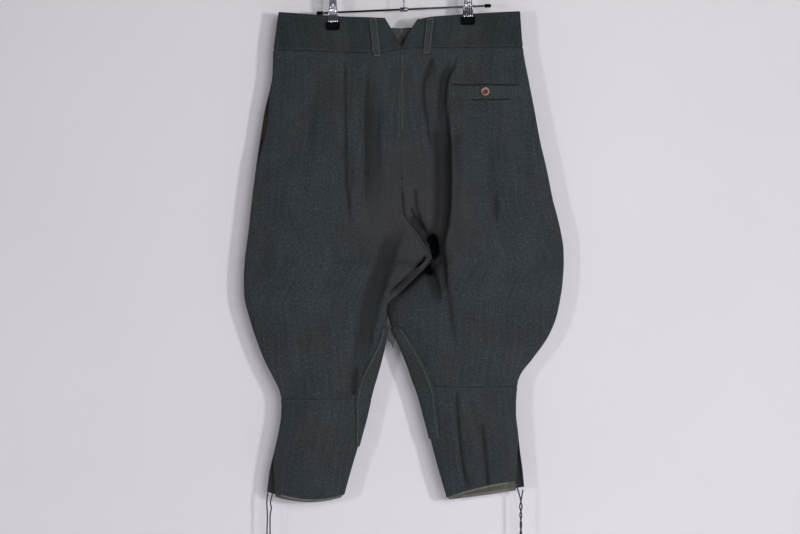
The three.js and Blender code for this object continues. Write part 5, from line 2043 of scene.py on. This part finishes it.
@dataclass
class Seams:
    """All the visible sewing of the breeches."""

    sewing: Sewing = field(default_factory=Sewing)
    band: Waistband = field(default_factory=Waistband)
    strappings: Strappings = field(default_factory=Strappings)
    below_knee: float = 3.2
    loop_edge: float = 1.6
    loop_end: float = 1.8
    strapping_row: float = 0.84
    strapping_rise: float = 0.25

    def build(self) -> None:
        """Builds the rows of stitches, by thread."""
        grey = [*self._band_rows(), *self._leg_rows(), self._fly_row()]
        self.sewing.build("stitches_grey", grey, GREY_THREAD)
        self.sewing.build("stitches_pale", self._pale_rows(), PALE_THREAD)
        self.sewing.build("bar_tacks", self._tacks(), GREY_THREAD, satin=True)

    def _band_rows(self) -> list[Row]:
        """The rows along the top and the bottom of the band, and up its side seams."""
        t, v = np.linspace(0.02, 0.985, 160), np.linspace(0.05, 0.95, 40)
        rows = []
        for leg in LEGS:
            rows.append(SHAPE.line(self.band.spots(leg, BACK, np.full_like(v, 0.03), v)))
            for layer in Layer:
                for level in (0.045, 0.955):
                    rows.append(SHAPE.line(self.band.spots(leg, layer, t, np.full_like(t, level))))
        return rows

    def _leg_rows(self) -> list[Row]:
        """The rows beside the centre seam, the inseam, the knee seams and the pocket's mouth."""
        share, level = np.linspace(0.03, 0.97, 90), np.linspace(236, 384, 70)
        knees = [
            Spots(leg, layer, share, np.full_like(share, leg.knee + self.below_knee)) for leg, layer in SIDES
        ]
        return [
            cloth_line(BACK, (-7.5, 172), (-7.5, 240), (-7.5, 316)),
            cloth_line(BACK, (-0.5, 172), (-0.5, 240), (-0.5, 316)),
            cloth_line(BACK, (37, 540), (21, 558), (8, 571), (-11, 595), (-31, 619)),
            cloth_line(BACK, (148.6, 167), (149, 200), (149.4, 226)),
            cloth_line(FRONT, (-7.5, 410), (-7.5, 450)),
            cloth_line(FRONT, (-0.5, 200), (-0.5, 320), (-0.5, 450)),
            *map(SHAPE.line, knees),
            SHAPE.line(Spots(LEFT, BACK, np.full_like(level, 0.018), level)),
        ]

    def _fly_row(self) -> Row:
        """The row of the fly: its long edge and the curve at its foot."""
        turn = np.linspace(0, 1, 60)
        curve = np.clip((turn - 0.8) / 0.2, 0, 1)
        return FLY.line(-0.86 + 1.7 * curve**1.5, np.minimum(turn, 0.8) + 0.17 * np.sin(np.pi / 2 * curve))

    def _pale_rows(self) -> list[Row]:
        """The paler rows down the centre seam, round the belt loops and along the edges of the strappings."""
        rows = [
            cloth_line(BACK, (-3.0, 170), (-3.0, 240), (-3.0, 314)),
            cloth_line(BACK, (-16, 661), (-10, 671), (-3, 682)),
        ]
        for loop in LOOPS:
            edge, start = 1 - 2 * self.loop_edge / loop.width, self.loop_end / (loop.bottom - loop.top)
            over, down = np.linspace(-edge, edge, 40), np.linspace(start, 1 - start, 40)
            rows += [loop.line(np.full(40, side), down) for side in (-edge, edge)]
            rows += [loop.line(over, np.full(40, level)) for level in (start, 1 - start)]
        out = self.strappings.gap + TRIM_CLOTH + self.strapping_rise
        for leg in LEGS:
            key = self.strappings.reaches[leg.hand].key
            drop = np.linspace(key[0] + 3, key[-1] - 3, 120)
            share = np.full_like(drop, self.strapping_row)
            rows += [self.strappings.line(leg, layer, share, drop, out) for layer in Layer]
        return rows

    def _tacks(self) -> list[Row]:
        """The bar tacks at both ends of the rear pocket, and at the feet of the centre seam and the fly."""
        return [
            cloth_line(BACK, (84.5, 227), (84.5, 240), (84.5, 253), out=0.3),
            cloth_line(BACK, (213.4, 232), (213.4, 243), (213.4, 254), out=3.0),
            cloth_line(BACK, (-8, 318), (-8, 321), (-8, 324), out=0.2),
            cloth_line(FRONT, (-26, 404), (-26, 408), (-26, 412), out=0.2),
        ]


# ---- Turning, pressing and drilling ----


def in_edit_mode(piece: Piece) -> None:
    """Makes a piece the only selected one and enters edit mode on it, with all of it selected."""
    deselect_all()
    piece.select_set(True)
    bpy.context.view_layer.objects.active = piece
    bpy.ops.object.mode_set(mode="EDIT")
    bpy.ops.mesh.select_all(action="SELECT")


def pick(piece: Piece, wanted: Callable[[bmesh.types.BMFace], bool]) -> None:
    """Selects the faces of a piece in edit mode that pass a test.

    Args:
        piece: the piece.
        wanted: the test on a face.
    """
    bm = bmesh.from_edit_mesh(piece.data)
    bpy.ops.mesh.select_mode(type="FACE")
    for face in bm.faces:
        face.select_set(wanted(face))
    bm.select_flush_mode()
    bmesh.update_edit_mesh(piece.data)


def applied(piece: Piece, kind: str, **settings: object) -> None:
    """Adds a modifier to a piece and applies it.

    Args:
        piece: the piece.
        kind: the modifier's type.
        settings: the modifier's properties.
    """
    deselect_all()
    bpy.context.view_layer.objects.active = piece
    modifier = piece.modifiers.new(kind.lower(), kind)
    for name, value in settings.items():
        setattr(modifier, name, value)
    bpy.ops.object.modifier_apply(modifier=modifier.name)


def smoothed(piece: Piece, degrees: float = 35.0) -> None:
    """Shades a piece smooth, with its sharper edges kept."""
    deselect_all()
    piece.select_set(True)
    bpy.context.view_layer.objects.active = piece
    bpy.ops.object.shade_smooth_by_angle(angle=math.radians(degrees))


def turned(
    name: str, radius: float, length: float, stand: Matrix | None = None, sides: int = 32, fill: str = "NGON"
) -> Piece:
    """A cylinder.

    Args:
        name: the piece's name.
        radius: its radius in millimetres.
        length: its length in millimetres.
        stand: the placing of its middle, with its own Z along it, or none to leave it upright at the origin.
        sides: how many sides it has.
        fill: how its ends are closed.

    Returns:
        The new piece.
    """
    deselect_all()
    bpy.ops.mesh.primitive_cylinder_add(
        vertices=sides, radius=radius * MM, depth=length * MM, end_fill_type=fill
    )
    piece = bpy.context.object
    piece.name = name
    if stand:
        piece.data.transform(stand)
    return piece


def drilled(
    piece: Piece, radius: float, length: float, place: Point, tilt: float = 0.0, sides: int = 32
) -> None:
    """Cuts a round hole through a piece.

    Args:
        piece: the piece.
        radius: the hole's radius in millimetres.
        length: how far the drill reaches, in millimetres.
        place: the middle of the drill, in metres.
        tilt: how far it is turned about X.
        sides: how many sides it has.
    """
    deselect_all()
    bpy.ops.mesh.primitive_cylinder_add(
        vertices=sides, radius=radius * MM, depth=length * MM, location=place, rotation=(tilt, 0, 0)
    )
    drill = bpy.context.object
    applied(piece, "BOOLEAN", operation="DIFFERENCE", object=drill, solver="EXACT")
    bpy.data.objects.remove(drill, do_unlink=True)


def placed(middle: Vector, way: Vector) -> Matrix:
    """The placing of a piece at a point in metres, with its own Z along a way."""
    return Matrix.Translation(middle) @ way.to_track_quat("Z", "Y").to_matrix().to_4x4()


# ---- Buttons ----


@dataclass(frozen=True)
class Button:
    """A turned horn button with four holes, sewn on with crossed thread."""

    node: str
    layer: Layer
    x: float
    drop: float
    off: float
    radius: float = 7.5
    height: float = 3.0
    rim: float = 1.9
    dish: float = 1.3
    slope: float = 0.7
    floor: tuple[float, float] = (2.2, 0.15)
    edge: float = 0.35
    hole: float = 0.95
    hole_at: float = 1.75
    strand: float = 0.38

    def build(self) -> None:
        """Builds the button in place of its solid, and its thread."""
        piece = turned(f"turned_{self.node}", self.radius, self.height, sides=48)
        in_edit_mode(piece)
        pick(piece, lambda face: face.normal.z > 0.9)
        for inset, sink in ((self.rim, 0), (self.slope, self.dish), self.floor):
            bpy.ops.mesh.inset(thickness=inset * MM, depth=-sink * MM)
        bpy.ops.object.mode_set(mode="OBJECT")
        applied(piece, "BEVEL", width=self.edge * MM, segments=3, angle_limit=math.radians(30))
        for turn in range(4):
            angle = math.pi / 4 + turn * math.pi / 2
            place = (self.hole_at * MM * math.cos(angle), self.hole_at * MM * math.sin(angle), 0)
            drilled(piece, self.hole, 4 * self.height, place, sides=16)
        smoothed(piece)
        stand = self._stand()
        piece.data.transform(stand)
        dressed(piece, HORN, self.node)
        self._paint_dish_shade(piece, stand)
        self._sew_on(stand)

    def _stand(self) -> Matrix:
        """The placing that lays the button on the cloth."""
        spots = SHAPE.under(self.layer, np.array([self.x]), np.array([self.drop]))
        seat = SHAPE.creased(spots, self.off + self.height / 2)[0]
        way = Vector(SHAPE.creased(spots, self.off + self.height / 2 + 1)[0] - seat)
        return placed(Vector(seat) * MM, way)

    def _paint_dish_shade(self, piece: Piece, stand: Matrix) -> None:
        """Leaves the rim pale and paints shade into the dish within it, with a darker copy of the horn."""
        piece.data.materials.append(SHADED_HORN.material())
        back = stand.inverted()
        for face in piece.data.polygons:
            spot = back @ face.center
            if math.hypot(spot.x, spot.y) < (self.radius - self.rim - 0.3) * MM:
                face.material_index = 1

    def _sew_on(self, stand: Matrix) -> None:
        """Sews the button on, with thread from hole to hole."""
        parts, top = [], self.height / 2 - self.dish + 0.25
        for turn in range(3):
            angle = math.pi / 4 + turn * math.pi / 2
            start = np.array([math.cos(angle), math.sin(angle)]) * self.hole_at
            end = -start if turn < 2 else np.array([start[1], -start[0]])
            aside = 0.28 * (turn - 1)
            knots = np.array([
                [start[0] + aside, start[1], -1.0], [*(start * 0.98), top],
                [*mix(start, end, 0.5), top + 0.4],
                [*(end * 0.98), top], [end[0] + aside, end[1], -1.0],
            ])
            strand = tube("strand", smooth_line(knots, 0.5), self.strand, sides=8)
            spots = np.array([vertex.co for vertex in strand.data.vertices]) / MM
            parts.append((spots, [tuple(face.vertices) for face in strand.data.polygons]))
            bpy.data.objects.remove(strand, do_unlink=True)
        piece, points = joined(f"thread_{self.node}", parts)
        lay_map(piece, points[:, :2])
        piece.data.transform(stand)
        dressed(piece, BROWN_THREAD)


BUTTONS = (
    Button("pocket_button", BACK, 150, 241.5, off=0.9 + TRIM_CLOTH + 0.8),
    Button("band_button", FRONT, -14, 157, off=0.6),
)


# ---- Clip hanger ----


@dataclass(frozen=True)
class Bar:
    """The hanger's bar, its two end caps and the ferrule in its middle."""

    left: tuple[float, float] = (-148.5, 94.0)
    right: tuple[float, float] = (148.5, 81.0)
    radius: float = 1.8
    cap_radius: float = 3.4
    cap_length: float = 12.0
    ferrule_radius: float = 4.2
    ferrule_length: float = 14.0
    rod_edge: float = 0.3
    cap_edge: float = 0.5
    ferrule_edge: float = 0.6

    def at(self, x: float) -> Vector:
        """The point of the bar's line at an x, in millimetres."""
        start, end = self._ends()
        return start.lerp(end, (x - start.x) / (end.x - start.x))

    def stand(self, x: float) -> Matrix:
        """The placing at an x of a piece whose own Z lies along the bar."""
        start, end = self._ends()
        return placed(self.at(x) * MM, end - start)

    def build(self) -> None:
        """Builds the bar with its caps and ferrule in place of their solids."""
        start, end = self._ends()
        rod = turned("turned_hanger_bar", self.radius, (end - start).length, self.stand(0.0))
        applied(rod, "BEVEL", width=self.rod_edge * MM, segments=2, angle_limit=math.radians(40))
        smoothed(rod)
        dressed(rod, DARK_STEEL, "hanger_bar")
        for leg in LEGS:
            self._cap(leg.hand, leg.side)
        self._ferrule()

    def _ends(self) -> tuple[Vector, Vector]:
        """The bar's two ends, in millimetres."""
        return Vector((self.left[0], 0, -self.left[1])), Vector((self.right[0], 0, -self.right[1]))

    def _cap(self, hand: str, side: int) -> None:
        """Builds the rounded cap of one end."""
        start, end = self._ends()
        way = (end - start).normalized() * side
        seat = (end if side > 0 else start) + way * (SEAM + self.cap_length / 2)
        cap = turned(f"moulded_cap_{hand}", self.cap_radius, self.cap_length, sides=40)
        in_edit_mode(cap)
        pick(cap, lambda face: face.normal.z > 0.9)
        for inset, rise in ((0.9, 0.0), (0.9, 0.7), (0.8, 0.35)):
            bpy.ops.mesh.inset(thickness=inset * MM, depth=rise * MM)
        pick(cap, lambda face: face.normal.z < -0.9)
        bpy.ops.mesh.inset(thickness=0.6 * MM, depth=-0.3 * MM)
        bpy.ops.object.mode_set(mode="OBJECT")
        applied(cap, "BEVEL", width=self.cap_edge * MM, segments=3, angle_limit=math.radians(40))
        cap.data.transform(placed(seat * MM, way))
        smoothed(cap, 50)
        dressed(cap, GLOSS_RUBBER, f"hanger_cap_{hand}")

    def _ferrule(self) -> None:
        """Builds the ferrule that holds the hook to the bar."""
        ferrule = turned("turned_ferrule", self.ferrule_radius, self.ferrule_length, sides=40, fill="NOTHING")
        wall = self.ferrule_radius - self.radius - SEAM
        applied(ferrule, "SOLIDIFY", thickness=wall * MM, offset=-1.0)
        applied(ferrule, "BEVEL", width=self.ferrule_edge * MM, segments=3, angle_limit=math.radians(40))
        ferrule.data.transform(self.stand(0.0))
        smoothed(ferrule)
        dressed(ferrule, STEEL, "hanger_ferrule")


@dataclass(frozen=True)
class Hook:
    """The wire hook that goes over the rail."""

    radius: float = 1.3
    bend: float = 17.0
    turn_from: float = -120.0
    turn_to: float = 100.0
    turns: int = 23
    shoulder: float = 16.0
    foot: float = 12.0

    def build(self, bar: Bar) -> None:
        """Builds the hook in place of its solid, on its bar."""
        centre = self.radius - self.bend
        foot = bar.at(0.0)
        low = foot.z + bar.ferrule_radius + SEAM
        neck = centre - self.bend - self.shoulder
        knots = [(foot.x, 0.0, low), (0.0, 0.0, low + self.foot), (0.0, 0.0, neck)]
        for turn in np.linspace(self.turn_from, self.turn_to, self.turns):
            angle = math.radians(90 - turn)
            knots.append((self.bend * math.cos(angle), 0.0, centre + self.bend * math.sin(angle)))
        wire = tube("bent_hook", smooth_line(np.array(knots), 1.0), self.radius, sides=20, tips=0.6)
        dressed(wire, STEEL, "hanger_hook")


Outline = list[Point]


@dataclass(frozen=True)
class Clip:
    """A spring clip on the bar: two fluted steel jaws, each with a rubber boot at its foot."""

    hand: str
    x: float
    boot_top: float
    foot_half: float = 9.8
    neck_half: float = 6.8
    tip_half: float = 6.2
    sheet: float = 1.2
    nip: float = 3.1
    lever_off: float = 10.0
    lever_height: float = 44.0
    boot: Point = (25.0, 6.0, 15.0)
    pinched: float = 3.35
    flutes: int = 5
    columns: int = 40
    hole: float = 2.3
    hole_above: float = 15.0
    flute: float = 0.42
    jaw_edge: float = 0.25
    boot_corner: float = 4.2
    boot_edge: float = 0.7
    coils: float = 8.5
    coil_half: float = 5.4
    wire: float = 0.6

    def build(self, bar: Bar) -> None:
        """Builds the clip in place of its solids, round its bar."""
        for layer in Layer:
            self._jaw(bar, layer)
            self._boot(layer)
        self._spring(bar)

    def _outline(self, bar: Bar) -> Outline:
        """The jaw from its side: how far off the middle plane, the drop and the half width at each bend."""
        drop = -bar.at(self.x).z
        foot = self.pinched + SEAM + self.boot[1] / 2
        at_bar = bar.radius + self.nip
        lever = bar.radius + self.lever_off
        return [
            (foot, self.boot_top - SEAM, self.foot_half),
            (mix(foot, at_bar, 0.5), mix(self.boot_top, drop + 2, 0.5), self.foot_half),
            (at_bar, drop + 2, mix(self.foot_half, self.neck_half, 0.5)),
            (at_bar, drop - 4, self.neck_half),
            (mix(at_bar, lever, 0.22), drop - 14, self.neck_half),
            (mix(at_bar, lever, 0.62), drop - 28, self.tip_half),
            (mix(at_bar, lever, 0.9), drop - self.lever_height + 4, self.tip_half),
            (lever, drop - self.lever_height, self.tip_half * 0.82),
        ]

    def _jaw(self, bar: Bar, layer: Layer) -> None:
        """Builds one jaw: a plate that is extruded up along its outline, fluted, holed and thickened.

        Args:
            bar: the bar that it clasps.
            layer: its seat side or its fly side.
        """
        outline = self._outline(bar)
        (off, drop, half), (next_off, next_drop, _) = outline[:2]
        deselect_all()
        bpy.ops.mesh.primitive_grid_add(x_subdivisions=self.columns, y_subdivisions=1, size=2 * half * MM)
        plate = bpy.context.object
        plate.name = f"pressed_jaw_{self.hand}_{layer.word}"
        for vertex in plate.data.vertices:
            high = vertex.co.y > 0
            level = (next_off, next_drop) if high else (off, drop)
            vertex.co = Vector((vertex.co.x, layer.value * level[0] * MM, -level[1] * MM))
        in_edit_mode(plate)
        bpy.ops.mesh.select_mode(type="EDGE")
        before = outline[1]
        for after in outline[2:]:
            self._pick_top_edge(plate)
            rise = (0, layer.value * (after[0] - before[0]) * MM, (before[1] - after[1]) * MM)
            bpy.ops.mesh.extrude_region_move(TRANSFORM_OT_translate={"value": rise})
            bpy.ops.transform.resize(value=(after[2] / before[2], 1, 1))
            before = after
        bpy.ops.object.mode_set(mode="OBJECT")
        applied(plate, "SUBSURF", levels=2, render_levels=2)
        self._flute(plate, outline)
        plate.data.transform(Matrix.Translation((self.x * MM, 0, 0)))
        applied(plate, "SOLIDIFY", thickness=self.sheet * MM, offset=0.0)
        lever = (self.x * MM, layer.value * 7 * MM, -(-bar.at(self.x).z - self.hole_above) * MM)
        drilled(plate, self.hole, 12, lever, math.pi / 2)
        applied(plate, "BEVEL", width=self.jaw_edge * MM, segments=2, angle_limit=math.radians(50))
        self._outward(plate)
        smoothed(plate, 40)
        dressed(plate, JAW_STEEL, f"clip_{self.hand}_jaw_{layer.word}")

    @staticmethod
    def _pick_top_edge(plate: Piece) -> None:
        """Selects the highest row of edges of a plate in edit mode."""
        bm = bmesh.from_edit_mesh(plate.data)
        top = max(vertex.co.z for vertex in bm.verts)
        for edge in bm.edges:
            edge.select_set(all(vertex.co.z > top - 1e-5 for vertex in edge.verts))
        bm.select_flush_mode()
        bmesh.update_edit_mesh(plate.data)

    def _flute(self, plate: Piece, outline: Outline) -> None:
        """Presses upright flutes into the lower part of a plate.

        Args:
            plate: the plate.
            outline: the jaw's outline.
        """
        low, high = outline[0][1], outline[4][1]
        for vertex in plate.data.vertices:
            drop = -vertex.co.z / MM
            part = float(ease((drop - high) / 5) * ease((low + 2 - drop) / 3))
            wave = math.cos(2 * math.pi * self.flutes * vertex.co.x / (2 * self.foot_half * MM))
            side = 1 if vertex.co.y > 0 else -1
            vertex.co.y += side * self.flute * MM * wave * part

    @staticmethod
    def _outward(piece: Piece) -> None:
        """Turns all faces of a closed piece outwards."""
        in_edit_mode(piece)
        bpy.ops.mesh.normals_make_consistent(inside=False)
        bpy.ops.object.mode_set(mode="OBJECT")

    def _boot(self, layer: Layer) -> None:
        """Builds a rubber boot with rounded lower corners and a sunk panel in its outer face."""
        width, thick, height = self.boot
        off = SEAM / 2 + self.pinched + SEAM + thick / 2
        deselect_all()
        bpy.ops.mesh.primitive_cube_add(size=1)
        boot = bpy.context.object
        boot.name = f"moulded_boot_{self.hand}_{layer.word}"
        boot.data.transform(Matrix.Diagonal((width * MM, thick * MM, height * MM, 1)))
        in_edit_mode(boot)
        bm = bmesh.from_edit_mesh(boot.data)
        bpy.ops.mesh.select_mode(type="EDGE")
        for edge in bm.edges:
            ends = [vertex.co for vertex in edge.verts]
            edge.select_set(abs(ends[0].y - ends[1].y) > 1e-4 and ends[0].z < 0)
        bmesh.update_edit_mesh(boot.data)
        bpy.ops.mesh.bevel(offset=self.boot_corner * MM, segments=8)
        pick(boot, lambda face: face.normal.y * layer.value > 0.9)
        bpy.ops.mesh.inset(thickness=1.7 * MM, depth=0.0)
        bpy.ops.mesh.inset(thickness=0.6 * MM, depth=-0.45 * MM)
        bpy.ops.object.mode_set(mode="OBJECT")
        applied(boot, "BEVEL", width=self.boot_edge * MM, segments=3, angle_limit=math.radians(50))
        drop = self.boot_top + height / 2
        boot.data.transform(Matrix.Translation((self.x * MM, layer.value * off * MM, -drop * MM)))
        smoothed(boot, 40)
        dressed(boot, RUBBER, f"clip_{self.hand}_boot_{layer.word}")

    def _spring(self, bar: Bar) -> None:
        """Builds the coiled spring round the bar, in place of its solid."""
        angle = np.linspace(0, 2 * math.pi * self.coils, int(self.coils * 28))
        radius = bar.radius + SEAM + self.wire + 0.05
        along = np.linspace(-self.coil_half, self.coil_half, len(angle))
        coil = np.stack([radius * np.cos(angle), radius * np.sin(angle), along], axis=1)
        spring = tube(f"coiled_spring_{self.hand}", coil, self.wire, sides=8, tips=0.7)
        spring.data.transform(bar.stand(self.x))
        dressed(spring, STEEL, f"clip_{self.hand}_spring")


CLIPS = (Clip("left", -131.0, 111.5), Clip("right", 119.0, 101.5))


# ---- Setting ----


@dataclass(frozen=True)
class Softbox:
    """A large square light that faces the breeches."""

    name: str
    place: Point
    size: float
    power: float
    shade: Point = (1.0, 1.0, 1.0)
    aim: Point = (0.0, 0.0, -0.56)
    spread: float = 180.0

    def build(self) -> Piece:
        """Builds the light and returns it."""
        light = bpy.data.lights.new(self.name, "AREA")
        light.shape, light.size = "SQUARE", self.size
        light.energy, light.color = self.power, self.shade
        light.spread = math.radians(self.spread)
        lamp = bpy.data.objects.new(self.name, light)
        bpy.context.scene.collection.objects.link(lamp)
        lamp.location = self.place
        lamp.rotation_euler = (Vector(self.aim) - Vector(self.place)).to_track_quat("-Z", "Y").to_euler()
        return lamp


@dataclass(frozen=True)
class Stage:
    """The pale wall and floor, the lights and the camera."""

    floor: float = -1.19
    wall: float = 0.046
    half: float = 6.0
    distance: float = 6.0
    target: Point = (-0.007, 0.0, -0.564)
    seen: float = 1.48
    lights: tuple[Softbox, ...] = (
        Softbox("key_left", (-3.1, -4.9, -0.5), 0.46, 4.2, aim=(0.0, 0.0, -0.5), spread=60),
        Softbox("key_right", (3.1, -4.9, -0.3), 0.46, 9.6, aim=(0.3, 0.0, -0.42), spread=60),
        Softbox("window", (1.6, -6.5, 0.35), 2.4, 40.5, aim=(0.0, 0.0, -0.42), spread=100),
        Softbox("fill_back", (0.6, 4.5, 0.4), 2.2, 60, spread=90),
    )

    def build_camera(self) -> None:
        """Places the camera square to the seat of the breeches, and looks at their middle."""
        data = bpy.data.cameras.new("camera")
        data.sensor_fit, data.clip_end = "HORIZONTAL", 60.0
        data.angle = 2 * math.atan(self.seen / 2 / self.distance)
        camera = bpy.data.objects.new("camera", data)
        bpy.context.scene.collection.objects.link(camera)
        camera.location = (self.target[0], -self.distance, self.target[2])
        camera.rotation_euler = (math.pi / 2, 0, 0)
        bpy.context.scene.camera = camera

    def build(self) -> None:
        """Builds the wall, the floor and the lights."""
        objects = [light.build() for light in self.lights]
        objects.append(self._plane("floor", (0, self.wall - self.half, self.floor), 0.0, FLOOR_PAINT))
        wall = self._plane("wall", (0, self.wall, self.floor + self.half), math.pi / 2, WALL_PAINT)
        wall.visible_shadow = False
        objects.append(wall)
        world = bpy.data.worlds.new("daylight")
        world.use_nodes = True
        sky = world.node_tree.nodes["Background"]
        sky.inputs["Color"].default_value = (0.93, 0.96, 1.0, 1.0)
        sky.inputs["Strength"].default_value = 0.1
        bpy.context.scene.world = world
        bpy.context.scene.view_settings.view_transform = "Standard"
        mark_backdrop(*objects)

    def _plane(self, name: str, place: Point, tilt: float, paint: Finish) -> Piece:
        """Builds one large flat surface.

        Args:
            name: its name.
            place: its middle.
            tilt: how far it is turned up about X.
            paint: its paint.

        Returns:
            The new object.
        """
        deselect_all()
        bpy.ops.mesh.primitive_plane_add(size=2 * self.half)
        plane = bpy.context.object
        plane.name = name
        plane.data.transform(Matrix.Translation(place) @ Matrix.Rotation(tilt, 4, "X"))
        plane.data.materials.append(paint.material())
        return plane


def report_size() -> None:
    boxes = {"cad": CAD_BOX, "visual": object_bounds()}
    lines = {name: [list(corner) for corner in box] for name, box in boxes.items()}
    LOG.info("boxes: %s", lines)


# ---- The cut of the cloth ----


@dataclass(frozen=True)
class Cut:
    """The flat size of a piece of cloth as far as it shows, what it hangs from, and what is sewn on it."""

    name: str
    width: float
    length: float
    area: float
    on: str
    trims: str = ""

    def declare(self) -> None:
        """Takes no step: the cut is only listed in this table."""


CUTS = (
    Cut("back_left", 0.37, 0.71, 0.181, "cloth_band_back_left", "stitches_grey stitches_pale"),
    Cut("back_right", 0.34, 0.7, 0.184, "cloth_band_back_right",
        "cloth_pocket_welt cloth_welt_jet cloth_welt_foot turned_pocket_button thread_pocket_button"),
    Cut("front_left", 0.36, 0.69, 0.176, "cloth_band_front_left", "cloth_fly"),
    Cut("front_right", 0.335, 0.675, 0.17, "cloth_band_front_right"),
    Cut("calf_back_left", 0.18, 0.19, 0.03, "cloth_back_left", "cloth_hem_tape_back_left"),
    Cut("calf_back_right", 0.205, 0.21, 0.0345, "cloth_back_right", "cloth_hem_tape_back_right"),
    Cut("calf_front_left", 0.18, 0.195, 0.031, "cloth_front_left", "cloth_hem_tape_front_left"),
    Cut("calf_front_right", 0.205, 0.215, 0.0355, "cloth_front_right", "cloth_hem_tape_front_right"),
    Cut("band_back_left", 0.24, 0.068, 0.0145, "pressed_jaw_left_back", "cloth_loop_back_left"),
    Cut("band_back_right", 0.228, 0.065, 0.0126, "pressed_jaw_right_back", "cloth_loop_back_right"),
    Cut("band_front_left", 0.243, 0.069, 0.0162, "pressed_jaw_left_front",
        "cloth_loop_front_left turned_band_button thread_band_button"),
    Cut("band_front_right", 0.231, 0.067, 0.0151, "pressed_jaw_right_front", "cloth_loop_front_right"),
    Cut("band_lining_left", 0.06, 0.066, 0.0037, "cloth_band_front_left"),
    Cut("band_lining_right", 0.057, 0.065, 0.0035, "cloth_band_front_right", "cloth_notch_shadow"),
    Cut("calf_lining_back_left", 0.133, 0.033, 0.0042, "cloth_calf_back_left"),
    Cut("calf_lining_back_right", 0.14, 0.033, 0.0045, "cloth_calf_back_right"),
    Cut("calf_lining_front_left", 0.14, 0.033, 0.0045, "cloth_calf_front_left"),
    Cut("calf_lining_front_right", 0.143, 0.033, 0.0047, "cloth_calf_front_right"),
    Cut("strapping_left", 0.08, 0.24, 0.0128, "cloth_front_left cloth_back_left"),
    Cut("strapping_right", 0.1, 0.24, 0.016, "cloth_front_right cloth_back_right"),
    Cut("pocket_facing", 0.014, 0.14, 0.0015, "cloth_front_left"),
    Cut("fork_point", 0.025, 0.08, 0.0015, "cloth_front_left cloth_front_right"),
    Cut("underfold", 0.045, 0.12, 0.0034, "cloth_back_left cloth_back_right"),
)


def main() -> None:
    """Builds the breeches, their hanger and the setting."""
    logging.basicConfig(level=logging.INFO, format="%(message)s", stream=sys.stdout)
    stage = Stage()
    stage.build_camera()
    Laces().build()
    Panels().build()
    Waistband().build()
    HemLinings().build()
    Fork().build()
    NotchShadow().build()
    for strip in STRIPS:
        strip.build()
    Strappings().build()
    PocketFacing().build()
    Seams().build()
    for button in BUTTONS:
        button.build()
    bar = Bar()
    bar.build()
    Hook().build(bar)
    for clip in CLIPS:
        clip.build(bar)
    for cut in CUTS:
        cut.declare()
    stage.build()
    report_size()


if __name__ == "__main__":
    main()
